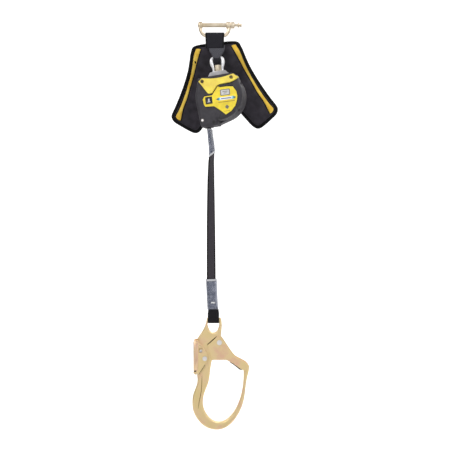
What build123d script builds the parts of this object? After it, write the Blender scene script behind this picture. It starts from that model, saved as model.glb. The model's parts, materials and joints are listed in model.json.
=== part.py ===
"""A compact web self retracting lifeline: harness connector, pad, swivel, spring-wound drum
with a centrifugal brake, web line and a large steel hook.

The origin is the middle of the connector's cross pin. +X runs along the pin, +Z is up,
and the front of the housing faces -Y. Units are millimetres.
"""

from build123d import *
from math import acos, asin, atan2, cos, degrees, hypot, radians, sin, sqrt
import os

# ---------------------------------------------------------------- driving dimensions
RUN_GAP = 0.08  # radial clearance of a running fit
FREE_GAP = 0.35  # clearance between bodies that only pass each other

# connector: a D-link closed by a pull pin
PIN_R = 4.5
BAR_R = 3.5
LINK_HALF = 31.0  # centreline of the D-link's sides
BOW_Z = -22.0  # centreline of the bar that the strap hangs on
LINK_BEND = 9.0
EAR_R = 7.6
EARS = [(-35.0, -26.5), (24.5, 34.0)]  # each eye for the pin, from left to right
FLUTES = 16
FLUTE_R = 0.6
KNOB_R = 5.6
KNOB_LENGTH = 8.2
KNOB_GRIP = 3.0  # how far the stem reaches into the knob
STEM_R = 2.9
PIN_LEFT = -36.0
PIN_RIGHT = 49.0
SLEEVE_R = 7.2
SLEEVE_LEFT = 34.9
SLEEVE_LENGTH = 7.4
PIN_STEP = 43.2  # where the pin narrows to its pull stem

# harness strap and pad
WEB_T = 2.4
STRAP_HALF = 20.5
STRAP_JOIN_Z = -50.0
WAIST_HALF = 3.6  # half thickness of the sewn waist between the loops
PAD_ROLL = 6.5
PAD_ORIGIN_X = 2.0
PAD_ORIGIN_Z = -24.3
PAD_FRONT_Y = 54.0
PAD_T = 12.0
PAD_BACKING_T = 1.5
PAD_BINDING_W = 5.0
PAD_NECK_Y = 8.5
PAD_TOP_Z = -37.0

# swivel and housing, tilted and turned as it hangs
EYE_X = 4.2
EYE_Z = -70.0
EYE_RISE = 85.9  # drum axis to the bail's top bar
TILT = 6.5
TURN = 15.0
BAIL_R = 2.8
STUD_R = 5.0
DRUM_CASE_R = 51.5
CASE_DEPTH = 25.0
CASE_WALL = 3.0
CASE_ROUND = 6.5
CAP_BOTTOM = 44.0
CAP_TOP = 53.0

# drum and brake, by depth behind (+) or before (-) the housing's middle plane
SHAFT_R = 6.0
CORE_R = 11.5
WOUND_R = 25.5
FLANGE_R = 30.0
FLANGE_IN = 9.5
FLANGE_OUT = 11.5
RATCHET_R = 41.0
RATCHET_ROOT_R = 38.5
RATCHET_TIP_R = 34.2
RATCHET_TEETH = 12
RATCHET_BACK = -12.0
PLATE_FRONT_BACK = -16.0
PLATE_REAR_FRONT = 12.5
PLATE_T = 2.6
PLATE_R = 40.0
PAWL_PIVOT_R = 19.0
PAWL_LENGTH = 18.0
PAWL_TIP_R = 1.6
PAWL_REST_REACH = 29.4

# line
WEB_WIDTH = 18.0
LINE_T = 1.8
HOOK_PIVOT_X = -3.0
HOOK_PIVOT_Z = -634.0
LINE_TWIST = 75.0
UPPER_SLEEVE = (-223.4, -279.0)
LOWER_SLEEVE = (-546.0, -611.0)
LINE_START_Z = -172.0

# hook
HOOK_T = 14.0
HOOK_ROUND = 2.5
HOOK_EYE_R = 4.5
EYE_HALF = 12.7
GATE_PIVOT = (13.0, -47.4)
LEVER_PIVOT = (-18.3, -81.4)
LEVER_EYE = (-36.9, -47.4)  # small cross pin at the lever's top
LEVER_EYE_R = 1.9
GATE_PIN_R = 3.0
LEVER_PIN_R = 3.5
GATE_INSIDE = 7.4
GATE_OUTSIDE = 9.2
LEVER_INSIDE = 9.7
LEVER_OUTSIDE = 11.5

# ---------------------------------------------------------------- frames worked out from them
HX = Vector(cos(radians(TILT)) * cos(radians(TURN)), -cos(radians(TILT)) * sin(radians(TURN)),
            sin(radians(TILT)))
HY = Vector(sin(radians(TURN)), cos(radians(TURN)), 0)
HZ = HX.cross(HY)
BAIL_X = (Vector(1, 0, 0) - HZ * HZ.X).normalized()  # the bail's bar, square to the swivel axis
BAIL_Y = HZ.cross(BAIL_X)
EYE_POINT = Vector(EYE_X, 0, EYE_Z)
DRUM_POINT = EYE_POINT - HZ * EYE_RISE
LEAVE_POINT = DRUM_POINT + Vector(-cos(radians(TURN)), sin(radians(TURN)), 0) * WOUND_R
HOOK_PIVOT = Vector(HOOK_PIVOT_X, LEAVE_POINT.Y, HOOK_PIVOT_Z)
LINE_DOWN = (HOOK_PIVOT - LEAVE_POINT).normalized()
PAD_ACROSS = Vector(cos(radians(PAD_ROLL)), 0, sin(radians(PAD_ROLL)))


def at_depth(depth):
    """Housing plane, seen from the front: x right, y up, at a depth behind the middle plane."""
    return Plane(origin=DRUM_POINT + HY * depth, x_dir=HX, z_dir=-HY)


def at_height(height):
    """Housing plane across the swivel axis, looking down it."""
    return Plane(origin=DRUM_POINT + HZ * height, x_dir=HX, z_dir=HZ)


def across_bail(side=0.0):
    """Plane square to the bail's top bar, with the bar's middle as its origin."""
    return Plane(origin=EYE_POINT + BAIL_X * side, x_dir=BAIL_Y, z_dir=BAIL_X)


def line_point(z):
    """The point of the line's centre at a height."""
    return LEAVE_POINT + LINE_DOWN * ((z - LEAVE_POINT.Z) / LINE_DOWN.Z)


def across_line(z, twist):
    """Plane across the line: x along its width, which the twist turns from the drum's axis."""
    width = Vector(sin(radians(TURN + twist)), cos(radians(TURN + twist)), 0)
    width = (width - LINE_DOWN * width.dot(LINE_DOWN)).normalized()
    return Plane(origin=line_point(z), x_dir=width, z_dir=-LINE_DOWN)


def hook_plane(depth=0.0):
    """Hook plane, seen from the front, with the pivot as its origin."""
    return Plane(origin=HOOK_PIVOT + Vector(0, depth, 0), x_dir=(1, 0, 0), z_dir=(0, -1, 0))


def pad_plane():
    """Pad plane, seen from the front, rolled as the pad hangs."""
    return Plane(origin=(PAD_ORIGIN_X, 0, PAD_ORIGIN_Z), x_dir=PAD_ACROSS, z_dir=(0, -1, 0))


def save(builder, name):
    builder.part.label = name
    export_step(builder.part, f"parts/{name}.step")


os.makedirs("parts", exist_ok=True)

# ---------------------------------------------------------------- connector
with BuildPart() as d_link:
    with BuildLine(Plane.XZ) as link_path:
        FilletPolyline((-LINK_HALF, 0), (-LINK_HALF, BOW_Z), (LINK_HALF, BOW_Z), (LINK_HALF, 0),
                       radius=LINK_BEND)
    with BuildSketch(Plane(origin=(-LINK_HALF, 0, 0), z_dir=(0, 0, -1))):
        Circle(BAR_R)
    sweep(path=link_path.wires()[0])
    for left, right in EARS:
        with BuildSketch(Plane.YZ.offset(left)):
            Circle(EAR_R)
        extrude(amount=right - left)
    with BuildSketch(Plane.YZ.offset(PIN_LEFT)):
        Circle(PIN_R + RUN_GAP)
    extrude(amount=PIN_RIGHT - PIN_LEFT, mode=Mode.SUBTRACT)
save(d_link, "d_link")

with BuildPart() as cross_pin:
    with BuildSketch(Plane.YZ.offset(PIN_LEFT)):
        Circle(PIN_R)
    extrude(amount=PIN_STEP - PIN_LEFT)
    chamfer(cross_pin.faces().sort_by(Axis.X)[0].edges(), 0.8)
    with BuildSketch(Plane.YZ.offset(PIN_STEP)):
        Circle(STEM_R)
    extrude(amount=PIN_RIGHT + KNOB_GRIP - PIN_STEP)
save(cross_pin, "cross_pin")

with BuildPart() as pull_knob:
    with BuildSketch(Plane.YZ.offset(PIN_RIGHT)):
        Circle(KNOB_R)
    extrude(amount=KNOB_LENGTH)
    fillet(pull_knob.edges(), 1.2)
    with BuildSketch(Plane.YZ.offset(PIN_RIGHT)):
        Circle(STEM_R)
    extrude(amount=KNOB_GRIP, mode=Mode.SUBTRACT)
save(pull_knob, "pull_knob")

with BuildPart() as lock_sleeve:
    with BuildSketch(Plane.YZ.offset(SLEEVE_LEFT)):
        Circle(SLEEVE_R)
        with PolarLocations(SLEEVE_R, FLUTES):
            Circle(FLUTE_R, mode=Mode.SUBTRACT)
        Circle(PIN_R + RUN_GAP, mode=Mode.SUBTRACT)
    extrude(amount=SLEEVE_LENGTH)
save(lock_sleeve, "lock_sleeve")

# ---------------------------------------------------------------- strap and pad
def loop_profile(centre_z, inner_r, join_z, waist):
    """A web loop round a bar, closed into a sewn waist at join_z, seen along X."""
    up = 1 if join_z > centre_z else -1
    Circle(inner_r + WEB_T)
    outer = inner_r + WEB_T
    reach = abs(join_z - centre_z)
    Polygon((-outer, 0), (outer, 0), (waist, up * reach), (-waist, up * reach), align=None)
    Circle(inner_r, mode=Mode.SUBTRACT)
    Polygon((-inner_r * 0.96, up * 1.0), (inner_r * 0.96, up * 1.0), (0, up * reach * 0.62),
            align=None, mode=Mode.SUBTRACT)


LOOP_INNER = BAR_R + FREE_GAP
with BuildPart() as harness_strap:
    with BuildSketch(Plane(origin=(-STRAP_HALF, 0, BOW_Z), x_dir=(0, 1, 0), z_dir=(1, 0, 0))):
        loop_profile(BOW_Z, LOOP_INNER, STRAP_JOIN_Z, WAIST_HALF)
    extrude(amount=2 * STRAP_HALF)
save(harness_strap, "harness_strap")

with BuildPart() as tack_patch:
    with BuildSketch(Plane.XZ.offset(-PAD_NECK_Y)):
        Polygon((-16, -49), (16, -49), (16, -39), (-16, -39), align=None)
    extrude(amount=PAD_NECK_Y - 2.0)
    add(harness_strap.part, mode=Mode.SUBTRACT)
save(tack_patch, "tack_patch")

EYE_LOOP_INNER = BAIL_R + FREE_GAP
EYE_WEB_TOP = 17.0  # half width where the strap is sewn
EYE_WEB_LOW = 9.2  # and folded narrow round the bail
with BuildPart() as eye_loop_web:
    with BuildSketch(across_bail(-STRAP_HALF)):
        loop_profile(EYE_Z, EYE_LOOP_INNER, STRAP_JOIN_Z + 4, WAIST_HALF)
    extrude(amount=2 * STRAP_HALF)
    with BuildSketch(Plane.XZ.offset(-STRAP_HALF)):
        Polygon((EYE_X - EYE_WEB_TOP, STRAP_JOIN_Z), (EYE_X + EYE_WEB_TOP, STRAP_JOIN_Z),
                (EYE_X + EYE_WEB_LOW, EYE_Z + 5), (EYE_X + EYE_WEB_LOW, EYE_Z - 10),
                (EYE_X - EYE_WEB_LOW, EYE_Z - 10), (EYE_X - EYE_WEB_LOW, EYE_Z + 5),
                align=None)
    extrude(amount=2 * STRAP_HALF, mode=Mode.INTERSECT)
save(eye_loop_web, "eye_loop_web")

PAD_EDGE = [(0, 2), (44.5, 0), (55, -12.5), (61, -33), (67.7, -55), (78.6, -81), (92.4, -109),
            (106, -133), (116, -149), (118, -157), (114, -167), (102, -177), (87, -188),
            (74, -195.5), (64, -195), (53, -185), (40, -167), (0, -118)]
STRIPE_EDGE = [(43, -7), (49.5, -22), (55, -43), (63.4, -68), (76, -97), (89, -123), (101, -144),
               (109, -157.5), (100, -167), (97, -152), (88, -135), (74.8, -116.6), (65, -90),
               (53.9, -65), (46.9, -43.6), (39.6, -24), (32, -7.5)]


def pad_outline():
    """The inverted V of the pad: one edge list, mirrored for the left wing."""
    left = [(-x, y) for x, y in reversed(PAD_EDGE[1:-1])]
    Polygon(*PAD_EDGE, *left, align=None)


def pad_layer_edge(depth):
    """Side view of one layer's face: down at the strap, back along the neck, down the wings."""
    share = (depth - PAD_FRONT_Y) / PAD_T
    near = depth - PAD_FRONT_Y + PAD_NECK_Y
    return [(near, PAD_TOP_Z), (near, -48 + 10 * share), (depth, -96 + 6 * share), (depth, -260)]


def pad_band(front, back):
    """The space between two layer faces, from side to side of the pad."""
    with BuildPart() as band:
        with BuildSketch(Plane(origin=(PAD_ORIGIN_X, 0, 0), x_dir=(0, 1, 0), z_dir=PAD_ACROSS)):
            Polygon(*pad_layer_edge(front), *reversed(pad_layer_edge(back)), align=None)
        extrude(amount=150, both=True)
    return band.part


PAD_REAR_Y = PAD_FRONT_Y + PAD_T
with BuildPart() as pad_core:
    with BuildSketch(pad_plane()):
        pad_outline()
        offset(amount=-PAD_BINDING_W, kind=Kind.INTERSECTION, mode=Mode.REPLACE)
    extrude(amount=-PAD_REAR_Y - 5)
    add(pad_band(PAD_FRONT_Y, PAD_REAR_Y - PAD_BACKING_T), mode=Mode.INTERSECT)
save(pad_core, "pad_core")

with BuildPart() as pad_back_panel:
    with BuildSketch(pad_plane()):
        pad_outline()
        offset(amount=-PAD_BINDING_W, kind=Kind.INTERSECTION, mode=Mode.REPLACE)
    extrude(amount=-PAD_REAR_Y - 5)
    add(pad_band(PAD_REAR_Y - PAD_BACKING_T, PAD_REAR_Y), mode=Mode.INTERSECT)
save(pad_back_panel, "pad_back_panel")

with BuildPart() as pad_binding:
    with BuildSketch(pad_plane()) as binding_sketch:
        pad_outline()
    with BuildSketch(pad_plane()) as binding_hole:
        pad_outline()
        offset(amount=-PAD_BINDING_W, kind=Kind.INTERSECTION, mode=Mode.REPLACE)
    extrude(binding_sketch.sketch, amount=-PAD_REAR_Y - 5)
    extrude(binding_hole.sketch, amount=-PAD_REAR_Y - 5, mode=Mode.SUBTRACT)
    add(pad_band(PAD_FRONT_Y, PAD_REAR_Y), mode=Mode.INTERSECT)
save(pad_binding, "pad_binding")

for side, name in ((1, "pad_stripe_right"), (-1, "pad_stripe_left")):
    with BuildPart() as stripe:
        with BuildSketch(pad_plane()):
            Polygon(*[(side * x, y) for x, y in STRIPE_EDGE], align=None)
        extrude(amount=-PAD_REAR_Y - 5)
        add(pad_band(PAD_FRONT_Y - 1.0, PAD_FRONT_Y), mode=Mode.INTERSECT)
    save(stripe, name)

# ---------------------------------------------------------------- swivel
BAIL_BASE_Z = 53.4
BAIL_FOOT = 56.0  # top of the base, where the nut sits
BAIL_NARROW = 10.2  # centreline of the legs beside the nut
BAIL_WIDE = 13.9  # and at the web
NUT_T = 12.6
NUT_FLATS = 12.0
STUD_BOTTOM = 33.0
with BuildPart() as swivel_bail:
    with BuildLine(Plane(origin=DRUM_POINT, x_dir=BAIL_X, z_dir=-BAIL_Y)) as bail_path:
        FilletPolyline((-BAIL_NARROW, BAIL_FOOT - 1.5), (-BAIL_NARROW, 65.0), (-BAIL_WIDE, 73.5),
                       (-BAIL_WIDE, EYE_RISE), (BAIL_WIDE, EYE_RISE), (BAIL_WIDE, 73.5),
                       (BAIL_NARROW, 65.0), (BAIL_NARROW, BAIL_FOOT - 1.5), radius=4.0)
    with BuildSketch(Plane(origin=bail_path.wires()[0] @ 0, z_dir=bail_path.wires()[0] % 0)):
        Circle(BAIL_R)
    sweep(path=bail_path.wires()[0])
    with BuildSketch(Plane(origin=DRUM_POINT + HZ * BAIL_BASE_Z, x_dir=BAIL_X, z_dir=HZ)):
        RectangleRounded(27, 13.4, 5)
    extrude(amount=BAIL_FOOT - BAIL_BASE_Z)
    with BuildSketch(at_height(BAIL_BASE_Z - 3)):
        Circle(STUD_R + RUN_GAP)
    extrude(amount=10, mode=Mode.SUBTRACT)
save(swivel_bail, "swivel_bail")

with BuildPart() as swivel_stud:
    with BuildSketch(at_height(STUD_BOTTOM)):
        Circle(STUD_R)
    extrude(amount=BAIL_FOOT + FREE_GAP + NUT_T + 0.6 - STUD_BOTTOM)
    chamfer(swivel_stud.faces().sort_by(Axis.Z)[-1].edges(), 0.8)
save(swivel_stud, "swivel_stud")

with BuildPart() as swivel_nut:
    with BuildSketch(at_height(BAIL_FOOT + FREE_GAP)):
        RegularPolygon(NUT_FLATS / 2, 6, major_radius=False)
        Circle(STUD_R, mode=Mode.SUBTRACT)
    extrude(amount=NUT_T)
save(swivel_nut, "swivel_nut")

# ---------------------------------------------------------------- housing
PLATE_SCREWS = [(-30.2, 33.6), (33.6, 32.4)]
COVER_SCREWS = [(-40.0, -47.5), (-15.0, -55.0), (33.5, -33.5)]
SCREW_R = 2.0
BOSS_R = 3.5


SHOULDER_LEFT = (-41.0, CAP_BOTTOM)
SHOULDER_FRONT = [(43.5, 38.0), (33.0, CAP_BOTTOM)]  # on the right, behind the plate's tip
SHOULDER_REAR = [(29.5, CAP_BOTTOM)]
NOZZLE_FRONT_Z = -62.0  # the nozzle block reaches lower on the front half
NOZZLE_REAR_Z = -57.0
NOZZLE_LEFT_X = -46.0
NOZZLE_FRONT_X = -9.0  # its right side
NOZZLE_REAR_X = -12.0
NOZZLE_CORNER_R = 6.0
NOZZLE_MEETS_DRUM = -97.5  # degrees round the drum case, on the front half
NOZZLE_BLOCK = (-39.0, -23.5)  # the throat piece, from left to right
NOZZLE_HALF = 14.0
NOZZLE_STAND = 0.6  # the throat's lip below the case
THROAT_ROOF = -51.5


def touch_angle(corner, side):
    """Degrees round the drum case at which the straight wall from an outside corner touches it."""
    return degrees(atan2(corner[1], corner[0]) + side * acos(DRUM_CASE_R / hypot(*corner)))


def on_case(angle):
    return (DRUM_CASE_R * cos(radians(angle)), DRUM_CASE_R * sin(radians(angle)))


def case_outline(shoulder, right_side, nozzle_z, meets_drum):
    """Round drum case with shoulders, a flat top and the nozzle block at the lower left."""
    right_high = touch_angle(shoulder[0], -1)
    left_high = touch_angle(SHOULDER_LEFT, 1)
    left_low = touch_angle((NOZZLE_LEFT_X, nozzle_z), -1) + 360
    with BuildSketch() as outline:
        with BuildLine():
            Polyline(on_case(right_high), *shoulder, SHOULDER_LEFT, on_case(left_high))
            CenterArc((0, 0), DRUM_CASE_R, left_high, left_low - left_high)
            Polyline(on_case(left_low), (NOZZLE_LEFT_X, nozzle_z), (right_side, nozzle_z),
                     on_case(meets_drum))
            CenterArc((0, 0), DRUM_CASE_R, meets_drum, right_high - meets_drum)
        make_face()
        fillet(outline.vertices().group_by(Axis.Y)[0].sort_by(Axis.X)[0], NOZZLE_CORNER_R)
    return outline.sketch


FRONT_OUTLINE = case_outline(SHOULDER_FRONT, NOZZLE_FRONT_X, NOZZLE_FRONT_Z, NOZZLE_MEETS_DRUM)
REAR_OUTLINE = case_outline(SHOULDER_REAR, NOZZLE_REAR_X, NOZZLE_REAR_Z,
                            touch_angle((NOZZLE_REAR_X, NOZZLE_REAR_Z), 1))


def make_shell(sign):
    """The front (-1) or rear (+1) half of the case, closed where it stands out past the other."""
    outline, other = (FRONT_OUTLINE, REAR_OUTLINE) if sign < 0 else (REAR_OUTLINE, FRONT_OUTLINE)
    with BuildPart() as shell:
        with BuildSketch(at_depth(0)):
            add(outline)
        extrude(amount=CASE_DEPTH)
        fillet(shell.faces().sort_by(Axis(DRUM_POINT, -HY))[-1].edges(), CASE_ROUND)
        with BuildSketch(at_depth(0)):
            add(outline)
            offset(amount=-CASE_WALL, mode=Mode.REPLACE)
        extrude(amount=CASE_DEPTH - CASE_WALL, mode=Mode.SUBTRACT)
        with BuildSketch(at_depth(0)):
            add(outline)
            add(other, mode=Mode.SUBTRACT)
        extrude(amount=CASE_WALL)
    return shell.part if sign < 0 else shell.part.mirror(at_depth(0))


def make_cover(sign):
    """One half of the case; sign is -1 for the front half and +1 for the rear half."""
    with BuildPart() as cover:
        add(make_shell(sign))
        with BuildSketch(at_depth(0)):
            with Locations(*PLATE_SCREWS, *COVER_SCREWS):
                Circle(BOSS_R)
        extrude(amount=-sign * (CASE_DEPTH - CASE_WALL))
        with BuildSketch(at_depth(CASE_DEPTH + 2)):
            with Locations(*PLATE_SCREWS, *COVER_SCREWS):
                Circle(SCREW_R)
        extrude(amount=2 * CASE_DEPTH + 4, mode=Mode.SUBTRACT)
        with BuildSketch(at_height(38)):
            Circle(STUD_R)
        extrude(amount=10, mode=Mode.SUBTRACT)
        with BuildSketch(at_depth(NOZZLE_HALF)):
            Polygon((NOZZLE_BLOCK[0], -66), (NOZZLE_BLOCK[1], -66),
                    (NOZZLE_BLOCK[1], THROAT_ROOF), (NOZZLE_BLOCK[0], THROAT_ROOF), align=None)
        extrude(amount=2 * NOZZLE_HALF, mode=Mode.SUBTRACT)
        if sign < 0:
            with BuildSketch(at_depth(-CASE_DEPTH - 1)):
                with Locations(*COVER_SCREWS):
                    Circle(3.8)
            extrude(amount=-3.4, mode=Mode.SUBTRACT)
    return cover


front_cover = make_cover(-1)
save(front_cover, "front_cover")
rear_cover = make_cover(1)
save(rear_cover, "rear_cover")

with BuildPart() as top_cap:
    with BuildSketch(at_depth(17)):
        Polygon((-19, CAP_BOTTOM), (25, CAP_BOTTOM), (24, CAP_BOTTOM + 2.5), (19, CAP_TOP),
                (-13.5, CAP_TOP), (-18, CAP_BOTTOM + 2.5), align=None)
    extrude(amount=34)
    fillet(top_cap.faces().sort_by(Axis(DRUM_POINT, HZ))[-1].edges(), 2.0)
    with BuildSketch(at_height(CAP_BOTTOM - 1)):
        Circle(STUD_R)
    extrude(amount=14, mode=Mode.SUBTRACT)
save(top_cap, "top_cap")

with BuildPart() as yellow_plate:
    with BuildSketch(at_depth(-CASE_DEPTH)):
        with BuildLine():
            Polyline((37.8, 39.3), (49.3, 30), (36.8, 24.3), (29.6, 22.4), (5.5, 21.8),
                     (0, 19.6), (-11.5, 6.2), (-19, 5.6), (-22, 8.2), (-38.6, 35), (-30, 40.9))
            ThreePointArc((-30, 40.9), (-3, 36), (26, 37.2))
            Line((26, 37.2), (37.8, 39.3))
        make_face()
        with Locations(*PLATE_SCREWS):
            Circle(SCREW_R, mode=Mode.SUBTRACT)
    extrude(amount=4.0)
    chamfer(yellow_plate.faces().sort_by(Axis(DRUM_POINT, -HY))[-1].outer_wire().edges(), 0.8)
save(yellow_plate, "yellow_plate")

with BuildPart() as label_plate:
    with BuildSketch(at_depth(-CASE_DEPTH)):
        Polygon((1.6, 18.4), (6.5, 15.6), (20, 15.6), (34.2, 13), (40.6, 2), (41.9, -7.3),
                (40.2, -16.5), (34.9, -28), (25.2, -37.6), (12.8, -43.4), (2.6, -33.2),
                (-10.9, -22), (-30, -20.2), (-32.4, -15.6), (-34, -4), (-29.6, 1.6),
                (-12.2, 1.5), (-7.5, 7.6), align=None)
    extrude(amount=1.2)
save(label_plate, "label_plate")

with BuildPart() as label_badge:
    with BuildSketch(at_depth(-CASE_DEPTH - 1.2)):
        with Locations((-20.6, -8.2)):
            RectangleRounded(15, 15, 1)
    extrude(amount=0.8)
save(label_badge, "label_badge")


def make_screws(places, head_front, head_r, head_t):
    """Pan-head screws from the front to the nut pocket in the rear cover."""
    with BuildPart() as screws:
        with BuildSketch(at_depth(CASE_DEPTH - CASE_WALL)):
            with Locations(*places):
                Circle(SCREW_R)
        extrude(amount=CASE_DEPTH - CASE_WALL - head_front)
        with BuildSketch(at_depth(head_front)):
            with Locations(*places):
                Circle(head_r)
        extrude(amount=head_t)
    return screws


plate_screws = make_screws(PLATE_SCREWS, -CASE_DEPTH - 4.0, 3.6, 1.6)
save(plate_screws, "plate_screws")
cover_screws = make_screws(COVER_SCREWS, -CASE_DEPTH + 2.4, 3.6, 2.0)
save(cover_screws, "cover_screws")

with BuildPart() as nozzle_insert:
    for throat_back, throat_low in ((0, NOZZLE_FRONT_Z), (NOZZLE_HALF, NOZZLE_REAR_Z)):
        with BuildSketch(at_depth(throat_back)):
            Polygon((NOZZLE_BLOCK[0], throat_low - NOZZLE_STAND),
                    (NOZZLE_BLOCK[1], throat_low - NOZZLE_STAND),
                    (NOZZLE_BLOCK[1], THROAT_ROOF), (NOZZLE_BLOCK[0], THROAT_ROOF), align=None)
        extrude(amount=NOZZLE_HALF)
    with BuildSketch(across_line(-235, 0)):
        Rectangle(WEB_WIDTH + 3, LINE_T + 4)
    extrude(amount=40, mode=Mode.SUBTRACT)
save(nozzle_insert, "nozzle_insert")

GUIDE_R = 2.6
GUIDE_Z = -43.0
NOZZLE_X = (line_point(DRUM_POINT.Z + GUIDE_Z) - DRUM_POINT).dot(HX)
with BuildPart() as guide_bars:
    with BuildSketch(at_depth(CASE_DEPTH - CASE_WALL)):
        with Locations((NOZZLE_X - GUIDE_R - 2.2, GUIDE_Z), (NOZZLE_X + GUIDE_R + 2.2, GUIDE_Z)):
            Circle(GUIDE_R)
    extrude(amount=2 * (CASE_DEPTH - CASE_WALL))
save(guide_bars, "guide_bars")

# ---------------------------------------------------------------- frame inside the housing
BUSH_R = 8.0
BLOCK_HALF = 13.0  # the block that holds the swivel stud
BLOCK_LOW = 31.0
BLOCK_HIGH = 40.8
SPACERS = [(34.8, 12.7), (-34.8, 12.7), (18.5, -32.0)]
SPACER_R = 3.2


def make_frame_plate(back):
    with BuildPart() as plate:
        with BuildSketch(at_depth(back)):
            Circle(PLATE_R)
            Polygon((-15, BLOCK_HIGH), (15, BLOCK_HIGH), (22, 20), (-22, 20), align=None)
            Circle(BUSH_R, mode=Mode.SUBTRACT)
        extrude(amount=PLATE_T)
    return plate


frame_front_plate = make_frame_plate(PLATE_FRONT_BACK)
save(frame_front_plate, "frame_front_plate")
frame_rear_plate = make_frame_plate(PLATE_REAR_FRONT + PLATE_T)
save(frame_rear_plate, "frame_rear_plate")

with BuildPart() as shaft_bushes:
    for bush_back in (PLATE_FRONT_BACK, PLATE_REAR_FRONT + PLATE_T):
        with BuildSketch(at_depth(bush_back)):
            Circle(BUSH_R)
            Circle(SHAFT_R + RUN_GAP, mode=Mode.SUBTRACT)
        extrude(amount=PLATE_T)
save(shaft_bushes, "shaft_bushes")

with BuildPart() as frame_spacers:
    with BuildSketch(at_depth(PLATE_REAR_FRONT)):
        with Locations(*SPACERS):
            Circle(SPACER_R)
    extrude(amount=PLATE_REAR_FRONT - RATCHET_BACK)
save(frame_spacers, "frame_spacers")

with BuildPart() as swivel_block:
    with BuildSketch(at_depth(PLATE_REAR_FRONT)):
        Polygon((-BLOCK_HALF, BLOCK_LOW), (BLOCK_HALF, BLOCK_LOW), (BLOCK_HALF, BLOCK_HIGH),
                (-BLOCK_HALF, BLOCK_HIGH), align=None)
    extrude(amount=PLATE_REAR_FRONT - RATCHET_BACK)
    with BuildSketch(at_height(STUD_BOTTOM)):
        Circle(STUD_R)
    extrude(amount=BLOCK_HIGH - STUD_BOTTOM, mode=Mode.SUBTRACT)
save(swivel_block, "swivel_block")


def polar(radius, angle):
    return (radius * cos(radians(angle)), radius * sin(radians(angle)))


# The pawl's swing, worked out from its pivot, length and reach
PAWL_REST = degrees(asin(sqrt(1 - ((PAWL_REST_REACH**2 - PAWL_PIVOT_R**2 - PAWL_LENGTH**2)
                                   / (2 * PAWL_PIVOT_R * PAWL_LENGTH))**2)))
PAWL_SWING = 25.0
ENGAGED_X = PAWL_PIVOT_R + PAWL_LENGTH * cos(radians(PAWL_REST - PAWL_SWING))
ENGAGED_Y = PAWL_LENGTH * sin(radians(PAWL_REST - PAWL_SWING))
GAP_ANGLE = degrees(atan2(ENGAGED_Y, ENGAGED_X))
GAP_HALF = 8.5

with BuildPart() as ratchet_ring:
    with BuildSketch(at_depth(RATCHET_BACK)):
        Circle(RATCHET_R)
        Circle(RATCHET_TIP_R, mode=Mode.SUBTRACT)
        for tooth in range(RATCHET_TEETH):
            middle = GAP_ANGLE + tooth * 360 / RATCHET_TEETH
            Polygon(polar(RATCHET_TIP_R - 1, middle - GAP_HALF),
                    polar(RATCHET_ROOT_R, middle - GAP_HALF + 4),
                    polar(RATCHET_ROOT_R, middle + GAP_HALF),
                    polar(RATCHET_TIP_R - 1, middle + GAP_HALF), align=None,
                    mode=Mode.SUBTRACT)
    extrude(amount=RATCHET_BACK - PLATE_FRONT_BACK)
save(ratchet_ring, "ratchet_ring")

CUP_FRONT = PLATE_REAR_FRONT + PLATE_T
CUP_BACK = 21.7
CUP_R = 30.0
CUP_WALL = 1.4
CUP_FLOOR = 1.0
with BuildPart() as spring_cup:
    with BuildSketch(at_depth(CUP_BACK)):
        Circle(CUP_R)
        Circle(SHAFT_R + 0.6, mode=Mode.SUBTRACT)
    extrude(amount=CUP_BACK - CUP_FRONT)
    with BuildSketch(at_depth(CUP_BACK - CUP_FLOOR)):
        Circle(CUP_R - CUP_WALL)
    extrude(amount=CUP_BACK, mode=Mode.SUBTRACT)
save(spring_cup, "spring_cup")

SPRING_PITCH = 3.2
with BuildPart() as power_spring:
    with BuildSketch(at_depth(CUP_BACK - 1.3)):
        with BuildLine():
            for half_turn in range(11):
                arc_r = 8.2 + half_turn * SPRING_PITCH / 2
                flip = half_turn % 2
                CenterArc((-SPRING_PITCH / 2 * flip, 0), arc_r, 180 * flip, 180)
        trace(line_width=0.9)
    extrude(amount=4.6)
save(power_spring, "power_spring")

# ---------------------------------------------------------------- drum
def make_disc(back, thick, outer, inner):
    with BuildPart() as disc:
        with BuildSketch(at_depth(back)):
            Circle(outer)
            Circle(inner, mode=Mode.SUBTRACT)
        extrude(amount=thick)
    return disc


save(make_disc(FLANGE_IN, 2 * FLANGE_IN, CORE_R, SHAFT_R), "drum_core")
save(make_disc(-FLANGE_IN, FLANGE_OUT - FLANGE_IN, FLANGE_R, SHAFT_R), "drum_flange_front")
save(make_disc(FLANGE_OUT, FLANGE_OUT - FLANGE_IN, FLANGE_R, SHAFT_R), "drum_flange_rear")
save(make_disc(WEB_WIDTH / 2, WEB_WIDTH, WOUND_R - LINE_T / 2 - 0.4, CORE_R), "wound_web")

SHAFT_END = 21.4
CLIP_R = 7.6
CLIP_T = 0.9
with BuildPart() as main_shaft:
    with BuildSketch(at_depth(SHAFT_END)):
        Circle(SHAFT_R)
    extrude(amount=2 * SHAFT_END)
save(main_shaft, "main_shaft")

with BuildPart() as shaft_circlips:
    for clip_back in (-19.4, 16.9):
        with BuildSketch(at_depth(clip_back)):
            Circle(CLIP_R)
            Circle(SHAFT_R, mode=Mode.SUBTRACT)
        extrude(amount=CLIP_T)
save(shaft_circlips, "shaft_circlips")

PAWL_BACK = -12.0
PAWL_T = 3.5
PAWL_PIN_R = 2.0
with BuildPart() as pawl_pins:
    with BuildSketch(at_depth(-FLANGE_OUT)):
        with Locations(polar(PAWL_PIVOT_R, 0), polar(PAWL_PIVOT_R, 180)):
            Circle(PAWL_PIN_R)
    extrude(amount=4.2)
save(pawl_pins, "pawl_pins")

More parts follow.
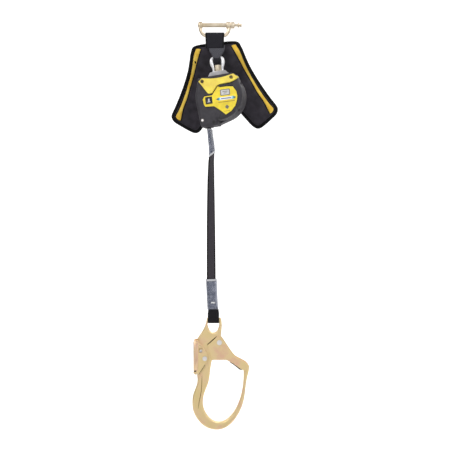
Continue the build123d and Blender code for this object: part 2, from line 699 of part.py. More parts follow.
for number in (1, 2):
    turn = 180 * (number - 1)
    pivot = polar(PAWL_PIVOT_R, turn)
    tip = (pivot[0] + PAWL_LENGTH * cos(radians(PAWL_REST + turn)),
           pivot[1] + PAWL_LENGTH * sin(radians(PAWL_REST + turn)))
    with BuildPart() as pawl:
        with BuildSketch(at_depth(PAWL_BACK)):
            with Locations(pivot):
                Circle(4.2)
            with Locations(tip):
                Circle(PAWL_TIP_R)
            make_hull()
            with Locations(pivot):
                Circle(PAWL_PIN_R + RUN_GAP, mode=Mode.SUBTRACT)
        extrude(amount=PAWL_T)
    save(pawl, f"pawl_{number}")

# ---------------------------------------------------------------- line
def twist_at(z):
    """The line turns from edge-on at the nozzle to face-on at the lower sleeve."""
    run = (z - UPPER_SLEEVE[1]) / (LOWER_SLEEVE[0] - UPPER_SLEEVE[1])
    return LINE_TWIST * min(1.0, max(0.0, run))


TWIST_STEPS = 10
with BuildPart() as lifeline_web:
    top, bottom = UPPER_SLEEVE[1], LOWER_SLEEVE[0]
    heights = [top + (bottom - top) * i / TWIST_STEPS for i in range(TWIST_STEPS + 1)]
    heights = [LINE_START_Z] + heights + [LOWER_SLEEVE[1]]
    for z in heights:
        with BuildSketch(across_line(z, twist_at(z))):
            Rectangle(WEB_WIDTH, LINE_T)
    loft(ruled=True)
save(lifeline_web, "lifeline_web")


def make_sleeve(top_z, bottom_z, twist, width, thick, slot_w, slot_t):
    with BuildPart() as sleeve:
        with BuildSketch(across_line(bottom_z, twist)):
            RectangleRounded(width, thick, thick * 0.42)
            Rectangle(slot_w, slot_t, mode=Mode.SUBTRACT)
        extrude(amount=top_z - bottom_z)
    return sleeve


upper_sleeve = make_sleeve(*UPPER_SLEEVE, 0, 22, 6.4, WEB_WIDTH + 1, LINE_T + 1)
save(upper_sleeve, "upper_sleeve")
lower_sleeve = make_sleeve(*LOWER_SLEEVE, LINE_TWIST, 23.2, 7.2, WEB_WIDTH + 1.6, LINE_T + 3)
save(lower_sleeve, "lower_sleeve")

with BuildPart() as label_insert:
    with BuildSketch(across_line(LOWER_SLEEVE[1] + 6, LINE_TWIST)):
        with Locations((0, -LINE_T / 2 - 0.6)):
            Rectangle(WEB_WIDTH, 0.5)
    extrude(amount=54)
save(label_insert, "label_insert")

LOOP_HALF = 12.3
LOOP_WEB_T = 2.4
HOOK_LOOP_INNER = HOOK_EYE_R + FREE_GAP
with BuildPart() as end_loop:
    with BuildSketch(Plane(origin=HOOK_PIVOT - Vector(LOOP_HALF, 0, 0), x_dir=(0, 1, 0),
                           z_dir=(1, 0, 0))):
        loop_top = LOWER_SLEEVE[1] - HOOK_PIVOT_Z - 0.3
        Circle(HOOK_LOOP_INNER + LOOP_WEB_T)
        Polygon((-7.2, 0), (7.2, 0), (3.4, loop_top), (-3.4, loop_top), align=None)
        Circle(HOOK_LOOP_INNER, mode=Mode.SUBTRACT)
        Polygon((-4.6, 1), (4.6, 1), (0, 15), align=None, mode=Mode.SUBTRACT)
    extrude(amount=2 * LOOP_HALF)
save(end_loop, "end_loop")

# ---------------------------------------------------------------- hook
with BuildPart() as hook_body:
    with BuildSketch(hook_plane(HOOK_T / 2)):
        with BuildLine():
            Polyline((-13, 4.2), (-18, -14), (-25, -27), (-33, -38), (-34.5, -60),
                     (-34.0, -90), (-34.7, -121))
            Spline((-34.7, -121), (-37, -144), (-43.5, -162), (-45, -178.5), (-43, -195),
                   (-34.7, -212), (-21.7, -226), (-5, -234), (9.8, -235.5), (24, -232),
                   (39.4, -221), (54, -201), (63.5, -178.5), (69, -145), (75.5, -112))
            Polyline((75.5, -112), (77, -99), (72, -96), (66.5, -100), (65.3, -108))
            Spline((65.3, -108), (64.4, -136), (59.8, -162), (51, -186), (37, -207),
                   (21, -218.5), (9.8, -220), (-3.2, -215.5), (-14.3, -204), (-21.7, -188),
                   (-22.6, -173), (-19.8, -158), (-11.5, -136), (-7, -108), (-3.2, -86))
            Polyline((-3.2, -86), (4, -66), (14, -56.5), (19.3, -47), (16, -36), (18, -12),
                     (16.5, 4.2), (-13, 4.2))
        make_face()
    extrude(amount=HOOK_T)
    with BuildSketch(hook_plane(HOOK_T)):
        with BuildLine():
            Polyline((-EYE_HALF, 8), (-EYE_HALF, -12), (-9, -22))
            ThreePointArc((-9, -22), (0.2, -28), (9, -22))
            Polyline((9, -22), (EYE_HALF, -12), (EYE_HALF, 8), (-EYE_HALF, 8))
        make_face()
    extrude(amount=2 * HOOK_T, mode=Mode.SUBTRACT)
    bowl_edges = hook_body.edges().filter_by(
        lambda e: e.length > 60 and abs(abs(e.center().Y - HOOK_PIVOT.Y) - HOOK_T / 2) < 0.01)
    fillet(bowl_edges, HOOK_ROUND)
    with BuildSketch(Plane(origin=HOOK_PIVOT - Vector(EYE_HALF + 1.5, 0, 0), z_dir=(1, 0, 0))):
        Circle(HOOK_EYE_R)
    extrude(amount=2 * EYE_HALF + 3.0)
    with BuildSketch(hook_plane(HOOK_T)):
        with Locations(GATE_PIVOT):
            Circle(GATE_PIN_R)
        with Locations(LEVER_PIVOT):
            Circle(LEVER_PIN_R)
    extrude(amount=2 * HOOK_T, mode=Mode.SUBTRACT)
save(hook_body, "hook_body")


def make_rivet(place, shank_r, head_r, head_inner, head_t):
    with BuildPart() as rivet:
        with BuildSketch(hook_plane(head_inner)):
            with Locations(place):
                Circle(shank_r)
        extrude(amount=2 * head_inner)
        for start, sign in ((head_inner, -1), (-head_inner, 1)):
            with BuildSketch(hook_plane(start)):
                with Locations(place):
                    Circle(head_r)
            extrude(amount=sign * head_t)
    return rivet


gate_rivet = make_rivet(GATE_PIVOT, GATE_PIN_R, 5.5, GATE_OUTSIDE + 0.4, 2.0)
save(gate_rivet, "gate_rivet")
lever_rivet = make_rivet(LEVER_PIVOT, LEVER_PIN_R, 5.0, LEVER_OUTSIDE + 0.4, 1.6)
save(lever_rivet, "lever_rivet")

with BuildPart() as lever_spring:
    for spring_back in (-HOOK_T / 2 - 0.3, LEVER_INSIDE - 0.5):
        with BuildSketch(hook_plane(spring_back)):
            with Locations(LEVER_PIVOT):
                Circle(5.8)
                Circle(LEVER_PIN_R, mode=Mode.SUBTRACT)
        extrude(amount=1.9)
save(lever_spring, "lever_spring")

with BuildPart() as gate:
    for cheek_back in (GATE_OUTSIDE, -GATE_INSIDE):
        with BuildSketch(hook_plane(cheek_back)):
            Polygon((-12.4, -53.5), (8, -35.5), (12, -35), (18, -37.5), (28, -52.6), (39, -69),
                    (47, -78.5), (69, -90), (76, -97.5), (68, -109), (58, -104), (43, -93),
                    (28, -85), (-3, -85), align=None)
            with Locations(GATE_PIVOT):
                Circle(GATE_PIN_R + RUN_GAP, mode=Mode.SUBTRACT)
        extrude(amount=GATE_OUTSIDE - GATE_INSIDE)
    with BuildSketch(hook_plane(GATE_OUTSIDE)):
        Polygon((36, -89), (43, -93), (60, -105), (61, -103.5), (44, -91), (37, -87), align=None)
    extrude(amount=2 * GATE_OUTSIDE)
save(gate, "gate")

with BuildPart() as lock_lever:
    for cheek_back in (LEVER_OUTSIDE, -LEVER_INSIDE):
        with BuildSketch(hook_plane(cheek_back)):
            Polygon((-41.5, -43), (-33, -42), (-13, -70), (-11.5, -84), (-18, -95), (-31, -115),
                    (-39, -113), (-42, -107), align=None)
            with Locations(LEVER_PIVOT):
                Circle(LEVER_PIN_R + RUN_GAP, mode=Mode.SUBTRACT)
            with Locations((-27, -64)):
                RectangleRounded(7, 11, 2, mode=Mode.SUBTRACT)
            with Locations(LEVER_EYE):
                Circle(LEVER_EYE_R, mode=Mode.SUBTRACT)
        extrude(amount=LEVER_OUTSIDE - LEVER_INSIDE)
    with BuildSketch(hook_plane(LEVER_OUTSIDE)):
        Polygon((-41.5, -43), (-39.5, -43), (-40, -106), (-42, -107), align=None)
    extrude(amount=2 * LEVER_OUTSIDE)
save(lock_lever, "lock_lever")

with BuildPart() as lever_pin:
    with BuildSketch(hook_plane(LEVER_OUTSIDE + 1.0)):
        with Locations(LEVER_EYE):
            Circle(LEVER_EYE_R)
    extrude(amount=2 * LEVER_OUTSIDE + 2.0)
save(lever_pin, "lever_pin")
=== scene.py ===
"""Finished look of the web self retracting lifeline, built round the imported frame.

Lengths on the object are written in millimetres and turned to metres by MM. The camera, the
lights and the stage are in metres.
"""
import json
import math
import bmesh
import bpy
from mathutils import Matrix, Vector
from mathutils.bvhtree import BVHTree


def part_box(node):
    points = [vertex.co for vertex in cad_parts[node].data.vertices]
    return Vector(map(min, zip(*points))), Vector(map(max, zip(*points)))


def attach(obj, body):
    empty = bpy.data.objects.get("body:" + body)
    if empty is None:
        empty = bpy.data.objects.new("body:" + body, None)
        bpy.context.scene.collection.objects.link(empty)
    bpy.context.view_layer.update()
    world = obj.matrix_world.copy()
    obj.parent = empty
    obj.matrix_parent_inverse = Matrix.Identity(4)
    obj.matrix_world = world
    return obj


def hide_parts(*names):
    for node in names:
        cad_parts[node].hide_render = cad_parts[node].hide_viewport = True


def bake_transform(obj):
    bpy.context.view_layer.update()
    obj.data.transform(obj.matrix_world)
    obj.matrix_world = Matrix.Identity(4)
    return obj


MM = 0.001

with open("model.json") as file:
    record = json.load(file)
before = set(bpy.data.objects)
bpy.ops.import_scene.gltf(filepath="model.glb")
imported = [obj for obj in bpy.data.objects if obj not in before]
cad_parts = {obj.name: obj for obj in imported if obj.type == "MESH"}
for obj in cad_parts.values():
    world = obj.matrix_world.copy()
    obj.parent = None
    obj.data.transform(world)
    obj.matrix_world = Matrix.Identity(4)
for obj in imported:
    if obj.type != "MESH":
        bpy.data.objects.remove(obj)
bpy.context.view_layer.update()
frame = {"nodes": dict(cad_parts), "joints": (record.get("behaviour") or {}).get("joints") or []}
NODES = frame["nodes"]
JOINTS = {joint["name"]: joint for joint in frame["joints"]}

# ------------------------------------------------------------------ places read from the frame
HOUSE_Y = Vector(JOINTS["drum_spin"]["axis"])
HOUSE_Z = Vector(JOINTS["swivel"]["axis"])
HOUSE_X = HOUSE_Y.cross(HOUSE_Z)
DRUM = Vector(JOINTS["drum_spin"]["pos_m"])
BAIL_X = Vector(JOINTS["eye_swing"]["axis"])
BAIL_Y = HOUSE_Z.cross(BAIL_X)
EYE = Vector(JOINTS["eye_swing"]["pos_m"])
BOW = Vector(JOINTS["strap_swing"]["pos_m"])
LINE_DOWN = Vector(JOINTS["line_payout"]["axis"])
HOOK = Vector(JOINTS["hook_swing"]["pos_m"])
PAD_CORE_T = 10.5
PAD_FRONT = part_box("pad_core")[1].y / MM - PAD_CORE_T
LABEL_FACE = -26.2  # depth of the label's face in the housing
PLATE_FACE = -29.0
CASE_FACE = -25.0
CASE_R = 51.5  # the housing's round part, about the drum axis


def house(x, y, z):
    """A point given in the housing's own millimetres: right, back and up from the drum axis."""
    return DRUM + (HOUSE_X * x + HOUSE_Y * y + HOUSE_Z * z) * MM


def line_at(z):
    """The middle of the line at a height in millimetres."""
    return HOOK + LINE_DOWN * ((z * MM - HOOK.z) / LINE_DOWN.z)


def hook_at(x, z, y=0.0):
    return HOOK + Vector((x, y, z)) * MM


def clamp(value):
    return min(1.0, max(0.0, value))


def circle(count):
    """Evenly spaced angles round a circle."""
    return [2 * math.pi * k / count for k in range(count)]


def srgb(red, green, blue):
    """A colour from 0-255 screen values to the linear values that shaders take."""
    def linear(value):
        value /= 255
        return value / 12.92 if value <= 0.04045 else ((value + 0.055) / 1.055) ** 2.4
    return (linear(red), linear(green), linear(blue), 1.0)


# ------------------------------------------------------------------ camera, light and stage
def make_camera():
    data = bpy.data.cameras.new("camera")
    data.sensor_width = 36
    data.lens = 55.8
    camera = bpy.data.objects.new("camera", data)
    camera.location = (0.022, -1.5, -0.4296)
    camera.rotation_euler = (math.pi / 2, 0, 0)
    bpy.context.scene.collection.objects.link(camera)
    bpy.context.scene.camera = camera
    bpy.context.scene.view_settings.view_transform = "Standard"


def make_light(name, place, aim, size, power):
    data = bpy.data.lights.new(name, "AREA")
    data.shape = "RECTANGLE"
    data.size, data.size_y = size
    data.energy = power
    light = bpy.data.objects.new(name, data)
    light.location = place
    light.rotation_euler = (Vector(aim) - Vector(place)).to_track_quat("-Z", "Y").to_euler()
    bpy.context.scene.collection.objects.link(light)


def make_floor():
    """A pale floor that curves up into a backdrop, well clear of the paid-out line."""
    floor_z, wall_y, bend, half = -2.6, 5.6, 1.6, 9.0
    front_y, top_z = -7.0, 6.0
    profile = [(front_y, floor_z), (wall_y - bend, floor_z)]
    profile += [(wall_y - bend + bend * math.sin(a), floor_z + bend - bend * math.cos(a))
                for a in (math.radians(9 * i) for i in range(1, 11))]
    profile.append((wall_y, top_z))
    verts = [(x, y, z) for y, z in profile for x in (-half, half)]
    faces = [(2 * i, 2 * i + 1, 2 * i + 3, 2 * i + 2) for i in range(len(profile) - 1)]
    floor = add_mesh("studio_floor", verts, faces)
    paper, _, shader = start_material("studio_paper", srgb(235, 235, 235), 0.9)
    shader.inputs["Emission Color"].default_value = (1, 1, 1, 1)
    shader.inputs["Emission Strength"].default_value = 0.6
    floor.data.materials.append(paper)


def make_world():
    world = bpy.data.worlds.new("studio")
    world.use_nodes = True
    background = world.node_tree.nodes["Background"]
    background.inputs["Color"].default_value = (1, 1, 1, 1)
    background.inputs["Strength"].default_value = 0.55
    bpy.context.scene.world = world


def make_cards():
    """Black cards beside and below the object, which darken its edges as in a product picture."""
    top, low, back = 0.5, -1.3, 0.2
    card = plain("black_card", srgb(18, 18, 18), 0.9)
    for name, corners in (
            ("card_left", [(-1.0, -1.0, top), (-1.0, back, top), (-1.0, back, low),
                           (-1.0, -1.0, low)]),
            ("card_right", [(1.05, -0.8, top), (1.05, back, top), (1.05, back, low),
                            (1.05, -0.8, low)]),
            ("card_low", [(-0.5, -1.25, low), (0.5, -1.25, low), (0.5, -0.5, low),
                          (-0.5, -0.5, low)])):
        flag = add_mesh(name, corners, [(0, 1, 2, 3)])
        flag.data.materials.append(card)
        flag.visible_camera = False


def make_lights():
    make_light("key", (-1.5, -1.9, 1.0), (0, 0, -0.3), (1.2, 1.2), 36)
    make_light("fill", (1.7, -1.4, -0.2), (0, 0, -0.4), (0.8, 1.8), 13)
    make_light("rim", (0.5, 1.3, 0.9), (0, 0, -0.3), (1.2, 0.8), 15)
    make_light("edge", (1.3, -0.5, 0.9), (0, 0, -0.15), (0.5, 0.5), 9)


# ------------------------------------------------------------------ mesh helpers
def add_mesh(name, verts, faces):
    mesh = bpy.data.meshes.new(name)
    mesh.from_pydata([tuple(v) for v in verts], [], faces)
    mesh.validate()
    mesh.shade_smooth()
    piece = bpy.data.objects.new(name, mesh)
    bpy.context.scene.collection.objects.link(piece)
    return piece


def close_normals(piece, weld=False):
    """Turns every face of a closed piece outwards, after joining doubled points if asked."""
    work = bmesh.new()
    work.from_mesh(piece.data)
    if weld:
        bmesh.ops.remove_doubles(work, verts=work.verts, dist=1e-7)
    bmesh.ops.recalc_face_normals(work, faces=work.faces)
    work.to_mesh(piece.data)
    work.free()
    return piece


def apply_modifiers(piece):
    """Replaces a piece's mesh with what its modifiers make of it."""
    graph = bpy.context.evaluated_depsgraph_get()
    mesh = bpy.data.meshes.new_from_object(piece.evaluated_get(graph))
    piece.modifiers.clear()
    old = piece.data
    piece.data = mesh
    bpy.data.meshes.remove(old)


def surface_of(piece):
    """A piece's mesh as a surface to find depths on."""
    return BVHTree.FromPolygons([v.co.copy() for v in piece.data.vertices],
                                [tuple(p.vertices) for p in piece.data.polygons])


def loft(name, rings, closed_ends=True, uvs=None):
    """Joins rings of points, all of one length, into one skin. uvs gives (u, v) per ring point."""
    count = len(rings[0])
    verts = [p for ring in rings for p in ring]
    faces = []
    for row in range(len(rings) - 1):
        for i in range(count):
            j = (i + 1) % count
            faces.append((row * count + i, row * count + j,
                          (row + 1) * count + j, (row + 1) * count + i))
    if closed_ends:
        faces.append(tuple(range(count))[::-1])
        faces.append(tuple((len(rings) - 1) * count + i for i in range(count)))
    piece = add_mesh(name, verts, faces)
    if uvs:
        flat = [uv for ring in uvs for uv in ring]
        layer = piece.data.uv_layers.new(name="web")
        for loop in piece.data.loops:
            layer.data[loop.index].uv = flat[loop.vertex_index]
    return close_normals(piece)


def web_section(centre, across, normal, width, thick, along):
    """One rounded cross section of a flat web, with its weave coordinates in metres."""
    half, edge = width / 2, thick / 2
    flat = [-1 + 2 * i / 8 for i in range(9)]
    points, uv = [], []
    for sign in (1, -1):
        for share in (flat if sign > 0 else reversed(flat)):
            points.append(centre + across * (share * (half - edge)) + normal * (sign * edge))
            uv.append((share * half, along))
        turn = centre + across * (sign * (half - edge))
        for angle in (60, 30, 0, -30, -60):
            reach = math.radians(angle)
            points.append(turn + across * (sign * edge * math.cos(reach))
                          + normal * (sign * edge * math.sin(reach)))
            uv.append((sign * half, along))
    return points, uv


def web(name, stations, thick):
    """A flat web through stations of (centre, across, width)."""
    rings, uvs, along = [], [], 0.0
    for i, (centre, across, width) in enumerate(stations):
        before = stations[max(i - 1, 0)][0]
        after = stations[min(i + 1, len(stations) - 1)][0]
        ahead = (after - before).normalized()
        if i:
            along += (centre - before).length
        across = (across - ahead * across.dot(ahead)).normalized()
        ring, uv = web_section(centre, across, across.cross(ahead), width, thick, along)
        rings.append(ring)
        uvs.append(uv)
    return loft(name, rings, uvs=uvs)


def soften(name, node, voxel, smooth_rounds, body):
    """A CAD node's shape with its edges rounded, as a casting, forging or moulding has them."""
    piece = bpy.data.objects.new(name, NODES[node].data.copy())
    piece.data.materials.clear()
    bpy.context.scene.collection.objects.link(piece)
    remesh = piece.modifiers.new("even", "REMESH")
    remesh.mode = "VOXEL"
    remesh.voxel_size = voxel * MM
    relax = piece.modifiers.new("relax", "SMOOTH")
    relax.factor = 0.5
    relax.iterations = smooth_rounds
    apply_modifiers(piece)
    piece.data.shade_smooth()
    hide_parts(node)
    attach(piece, body)
    return piece


SMOOTH_STEPS = 6


def smooth_line(points, closed=False):
    """Catmull-Rom points through a given outline."""
    count = len(points)

    def pick(k):
        return Vector(points[k % count] if closed else points[min(max(k, 0), count - 1)])

    out = []
    for i in range(count if closed else count - 1):
        a, b, c, d = (pick(i + k) for k in (-1, 0, 1, 2))
        for s in range(SMOOTH_STEPS):
            t = s / SMOOTH_STEPS
            out.append(0.5 * ((2 * b) + (c - a) * t + (2 * a - 5 * b + 4 * c - d) * t * t
                              + (3 * b - a - 3 * c + d) * t ** 3))
    if not closed:
        out.append(Vector(points[-1]))
    return out


def length_of(points):
    return sum((b - a).length for a, b in zip(points, points[1:]))


def resample(points, count):
    """Evenly spaced points along a line."""
    lengths = [0.0]
    for a, b in zip(points, points[1:]):
        lengths.append(lengths[-1] + (b - a).length)
    out, k = [], 0
    for i in range(count):
        want = lengths[-1] * i / (count - 1)
        while k < len(points) - 2 and lengths[k + 1] < want:
            k += 1
        span = max(lengths[k + 1] - lengths[k], 1e-9)
        out.append(points[k].lerp(points[k + 1], min(1.0, (want - lengths[k]) / span)))
    return out


# ------------------------------------------------------------------ materials
def start_material(name, base, roughness, metallic=0.0):
    material = bpy.data.materials.new(name)
    material.use_nodes = True
    tree = material.node_tree
    shader = tree.nodes["Principled BSDF"]
    shader.inputs["Base Color"].default_value = base
    shader.inputs["Roughness"].default_value = roughness
    shader.inputs["Metallic"].default_value = metallic
    shader.inputs["Specular IOR Level"].default_value = 0.5 if roughness < 0.7 else 0.15
    return material, tree, shader


def plain(name, base, roughness):
    return start_material(name, base, roughness)[0]


def noise(tree, scale, detail=3.0):
    """Noise in the object's own space."""
    coords = tree.nodes.new("ShaderNodeTexCoord")
    texture = tree.nodes.new("ShaderNodeTexNoise")
    texture.inputs["Scale"].default_value = scale
    texture.inputs["Detail"].default_value = detail
    tree.links.new(coords.outputs["Object"], texture.inputs["Vector"])
    return texture.outputs["Fac"]


def math_node(tree, operation, *values):
    """A Math node's output; each value is a socket to link from or a number to set."""
    node = tree.nodes.new("ShaderNodeMath")
    node.operation = operation
    for value, socket in zip(values, node.inputs):
        if isinstance(value, float):
            socket.default_value = value
        else:
            tree.links.new(value, socket)
    return node.outputs[0]


def ramp(tree, source, stops):
    """A colour ramp fed by a value; stops are (place, colour)."""
    node = tree.nodes.new("ShaderNodeValToRGB")
    tree.links.new(source, node.inputs["Fac"])
    elements = node.color_ramp.elements
    elements[0].position, elements[0].color = stops[0]
    elements[1].position, elements[1].color = stops[-1]
    for place, colour in stops[1:-1]:
        elements.new(place).color = colour
    return node.outputs["Color"]


def bump(tree, shader, source, strength, depth):
    node = tree.nodes.new("ShaderNodeBump")
    node.inputs["Strength"].default_value = strength
    node.inputs["Distance"].default_value = depth
    tree.links.new(source, node.inputs["Height"])
    tree.links.new(node.outputs["Normal"], shader.inputs["Normal"])


def colour_from(tree, shader, source, stops):
    tree.links.new(ramp(tree, source, stops), shader.inputs["Base Color"])


def roughness_from(tree, shader, source, smooth, rough):
    """Roughness that drifts with noise between two (place, value) stops."""
    stops = [(place, (value, value, value, 1.0)) for place, value in (smooth, rough)]
    tree.links.new(ramp(tree, source, stops), shader.inputs["Roughness"])


def metal(name, light, dark, roughness, metallic=1.0):
    """Plated or cast metal: slow colour drift, uneven roughness and a fine surface grain."""
    material, tree, shader = start_material(name, light, roughness, metallic)
    colour_from(tree, shader, noise(tree, 38.0, 4.0), [(0.36, dark), (0.62, light)])
    roughness_from(tree, shader, noise(tree, 90.0, 5.0), (0.3, roughness * 0.8),
                   (0.75, roughness * 1.35))
    bump(tree, shader, noise(tree, 260.0, 6.0), 0.35, 0.00006)
    return material


def yellow_zinc(name, tints):
    """Yellow-passivated zinc: clouds of straw, gold and pink on a soft satin shine."""
    material, tree, shader = start_material(name, srgb(228, 205, 155), 0.3, 0.42)
    colour_from(tree, shader, noise(tree, 30.0), list(zip((0.30, 0.43, 0.55, 0.68), tints)))
    roughness_from(tree, shader, noise(tree, 120.0, 5.0), (0.3, 0.28), (0.75, 0.46))
    bump(tree, shader, noise(tree, 420.0, 6.0), 0.3, 0.00005)
    return material


def moulded(name, base, roughness, coat=0.0, shine=0.5):
    """Moulded plastic with a fine spark-eroded texture and slight unevenness of gloss."""
    material, tree, shader = start_material(name, base, roughness)
    shader.inputs["Specular IOR Level"].default_value = shine
    lighter = tuple(min(1.0, c * 1.16) for c in base[:3]) + (1.0,)
    darker = tuple(c * 0.88 for c in base[:3]) + (1.0,)
    colour_from(tree, shader, noise(tree, 55.0), [(0.35, darker), (0.65, lighter)])
    roughness_from(tree, shader, noise(tree, 160.0, 4.0), (0.3, roughness * 0.85),
                   (0.7, min(1.0, roughness * 1.2)))
    bump(tree, shader, noise(tree, 1500.0, 2.0), 0.28, 0.00012)
    if coat:
        shader.inputs["Coat Weight"].default_value = coat
        shader.inputs["Coat Roughness"].default_value = 0.2
    return material


COLUMN_PITCH = 0.0021
RIB_PITCH = 0.0011
THREAD_SCALE = 286.487


def webbing(name, base, light, edge_at=0.0, edge_colour=None):
    """Woven webbing from the web's own coordinates: ribs across, columns along, dark edges."""
    material, tree, shader = start_material(name, base, 0.78)
    coords = tree.nodes.new("ShaderNodeUVMap")
    coords.uv_map = "web"
    split = tree.nodes.new("ShaderNodeSeparateXYZ")
    tree.links.new(coords.outputs["UV"], split.inputs["Vector"])
    waves = [math_node(tree, "SINE", math_node(tree, "MULTIPLY", split.outputs[axis],
                                               2 * math.pi / pitch))
             for axis, pitch in (("X", COLUMN_PITCH), ("Y", RIB_PITCH))]
    lift = math_node(tree, "MULTIPLY_ADD", math_node(tree, "MULTIPLY", *waves), 0.5, 0.5)
    colour = ramp(tree, lift, [(0.1, base), (0.9, light)])
    if edge_colour:
        mix = tree.nodes.new("ShaderNodeMix")
        mix.data_type = "RGBA"
        beyond = math_node(tree, "GREATER_THAN",
                           math_node(tree, "ABSOLUTE", split.outputs["X"]), edge_at)
        tree.links.new(beyond, mix.inputs["Factor"])
        tree.links.new(colour, mix.inputs["A"])
        mix.inputs["B"].default_value = edge_colour
        colour = mix.outputs["Result"]
    tree.links.new(colour, shader.inputs["Base Color"])
    bump(tree, shader, lift, 0.6, 0.0002)
    shader.inputs["Sheen Weight"].default_value = 0.25
    shader.inputs["Sheen Roughness"].default_value = 0.4
    return material


def cloth(name, base, light, sheen=0.3):
    """Close woven pad fabric: a fine crossed weave with soft mottling."""
    material, tree, shader = start_material(name, base, 0.85)
    colour_from(tree, shader, noise(tree, 60.0, 5.0), [(0.35, base), (0.7, light)])
    coords = tree.nodes.new("ShaderNodeTexCoord")
    waves = []
    for direction in ("X", "Z"):
        texture = tree.nodes.new("ShaderNodeTexWave")
        texture.bands_direction = direction
        texture.inputs["Scale"].default_value = THREAD_SCALE
        tree.links.new(coords.outputs["Object"], texture.inputs["Vector"])
        waves.append(texture.outputs["Fac"])
    bump(tree, shader, math_node(tree, "MULTIPLY", *waves), 0.5, 0.00025)
    shader.inputs["Sheen Weight"].default_value = sheen
    shader.inputs["Sheen Roughness"].default_value = 0.5
    return material


def clear_film(name, base, light, alpha):
    """Clear heat-shrunk film: tinted, glossy and a little wavy."""
    material, tree, shader = start_material(name, base, 0.12)
    shader.inputs["Alpha"].default_value = alpha
    shader.inputs["Coat Weight"].default_value = 0.5
    shader.inputs["Coat Roughness"].default_value = 0.08
    colour_from(tree, shader, noise(tree, 160.0, 4.0), [(0.4, base), (0.72, light)])
    bump(tree, shader, noise(tree, 140.0, 2.0), 0.5, 0.0005)
    return material


MATERIALS = {made.name: made for made in (
    metal("champagne", srgb(232, 218, 196), srgb(206, 186, 154), 0.4, metallic=0.75),
    metal("bright", srgb(246, 246, 248), srgb(228, 228, 232), 0.34, metallic=0.45),
    metal("rivet", srgb(244, 240, 238), srgb(222, 218, 218), 0.34, metallic=0.4),
    metal("nut", srgb(204, 194, 174), srgb(176, 164, 142), 0.5, metallic=0.6),
    metal("dark_screw", srgb(120, 116, 112), srgb(80, 76, 74), 0.35),
    metal("brass_screw", srgb(104, 90, 44), srgb(72, 60, 30), 0.45, metallic=0.5),
    metal("steel", srgb(190, 192, 196), srgb(160, 162, 168), 0.35),
    metal("bronze", srgb(196, 160, 104), srgb(160, 124, 76), 0.4),
    yellow_zinc("yellow_zinc", (srgb(232, 214, 148), srgb(240, 214, 156), srgb(242, 214, 164),
                                srgb(238, 196, 162))),
    yellow_zinc("pink_zinc", (srgb(236, 206, 158), srgb(234, 198, 164), srgb(228, 188, 160),
                              srgb(222, 178, 156))),
    moulded("case", srgb(61, 59, 64), 0.6, shine=0.25),
    moulded("cap", srgb(166, 164, 167), 0.55, shine=0.3),
    moulded("yellow", srgb(252, 222, 78), 0.5, 0.1),
    moulded("label", srgb(242, 214, 36), 0.5, 0.1),
    moulded("black_print", srgb(12, 12, 14), 0.5),
    moulded("white_print", srgb(240, 240, 240), 0.45, 0.2),
    moulded("teal_print", srgb(14, 92, 112), 0.45, 0.2),
    moulded("sky_print", srgb(130, 206, 224), 0.45, 0.2),
    moulded("blue_print", srgb(84, 112, 148), 0.45),
    moulded("pale_print", srgb(196, 196, 196), 0.45),
    moulded("ochre_print", srgb(176, 138, 30), 0.45),
    moulded("grey_print", srgb(110, 104, 92), 0.45, 0.2),
    webbing("strap", srgb(19, 19, 23), srgb(45, 44, 51), 0.0178, srgb(6, 6, 8)),
    webbing("eye_web", srgb(52, 52, 57), srgb(92, 92, 99)),
    webbing("line", srgb(46, 43, 48), srgb(76, 72, 78), 0.0077, srgb(8, 8, 10)),
    webbing("loop", srgb(12, 12, 14), srgb(38, 37, 42)),
    cloth("pad", srgb(40, 37, 43), srgb(58, 54, 62)),
    cloth("binding", srgb(5, 5, 7), srgb(16, 16, 19), sheen=0.08),
    cloth("stripe", srgb(232, 188, 66), srgb(246, 212, 98), sheen=0.1),
    plain("thread", srgb(88, 85, 94), 0.8),
    clear_film("film", srgb(110, 116, 136), srgb(168, 172, 188), 0.5),
    # painted highlight: the pale edge of the clear sleeves
    plain("film_rim_highlight", srgb(205, 206, 210), 0.3),
    moulded("card", srgb(164, 168, 182), 0.5),
    plain("seam_shadow", srgb(48, 38, 22), 0.7),
    # painted shade: the brown of the shaded groove along the hook's spine
    plain("groove", srgb(150, 122, 70), 0.5),
)}

NODE_MATERIALS = {
    "champagne": ["d_link", "cross_pin", "pull_knob", "lock_sleeve"],
    "bright": ["swivel_bail"],
    "rivet": ["gate_rivet", "lever_rivet"],
    "nut": ["swivel_nut", "swivel_stud"],
    "case": ["front_cover", "rear_cover", "nozzle_insert", "guide_bars", "drum_core"],
    "cap": ["top_cap"],
    "yellow": ["yellow_plate"],
    "label": ["label_plate"],
    "black_print": ["label_badge"],
    "brass_screw": ["plate_screws"],
    "dark_screw": ["cover_screws"],
    "steel": ["frame_front_plate", "frame_rear_plate", "frame_spacers", "swivel_block",
              "ratchet_ring", "spring_cup", "main_shaft", "shaft_circlips", "pawl_pins",
              "pawl_1", "pawl_2", "power_spring", "lever_spring", "drum_flange_front",
              "drum_flange_rear"],
    "bronze": ["shaft_bushes"],
    "strap": ["harness_strap", "eye_loop_web", "tack_patch", "end_loop"],
    "pad": ["pad_core", "pad_back_panel"],
    "binding": ["pad_binding", "wound_web", "lifeline_web"],
    "stripe": ["pad_stripe_left", "pad_stripe_right"],
    "film": ["upper_sleeve", "lower_sleeve"],
    "card": ["label_insert"],
    "yellow_zinc": ["hook_body", "gate", "lock_lever", "lever_pin"],
}


def dress(piece, material):
    piece.data.materials.clear()
    piece.data.materials.append(MATERIALS[material])
    return piece


def settle(piece, material, body, stands_for=()):
    """Gives a piece its material, the CAD nodes that it stands for and its body."""
    dress(piece, material)
    if stands_for:
        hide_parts(*stands_for)
    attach(piece, body)


def dress_nodes():
    for material, names in NODE_MATERIALS.items():
        for name in names:
            dress(NODES[name], material)


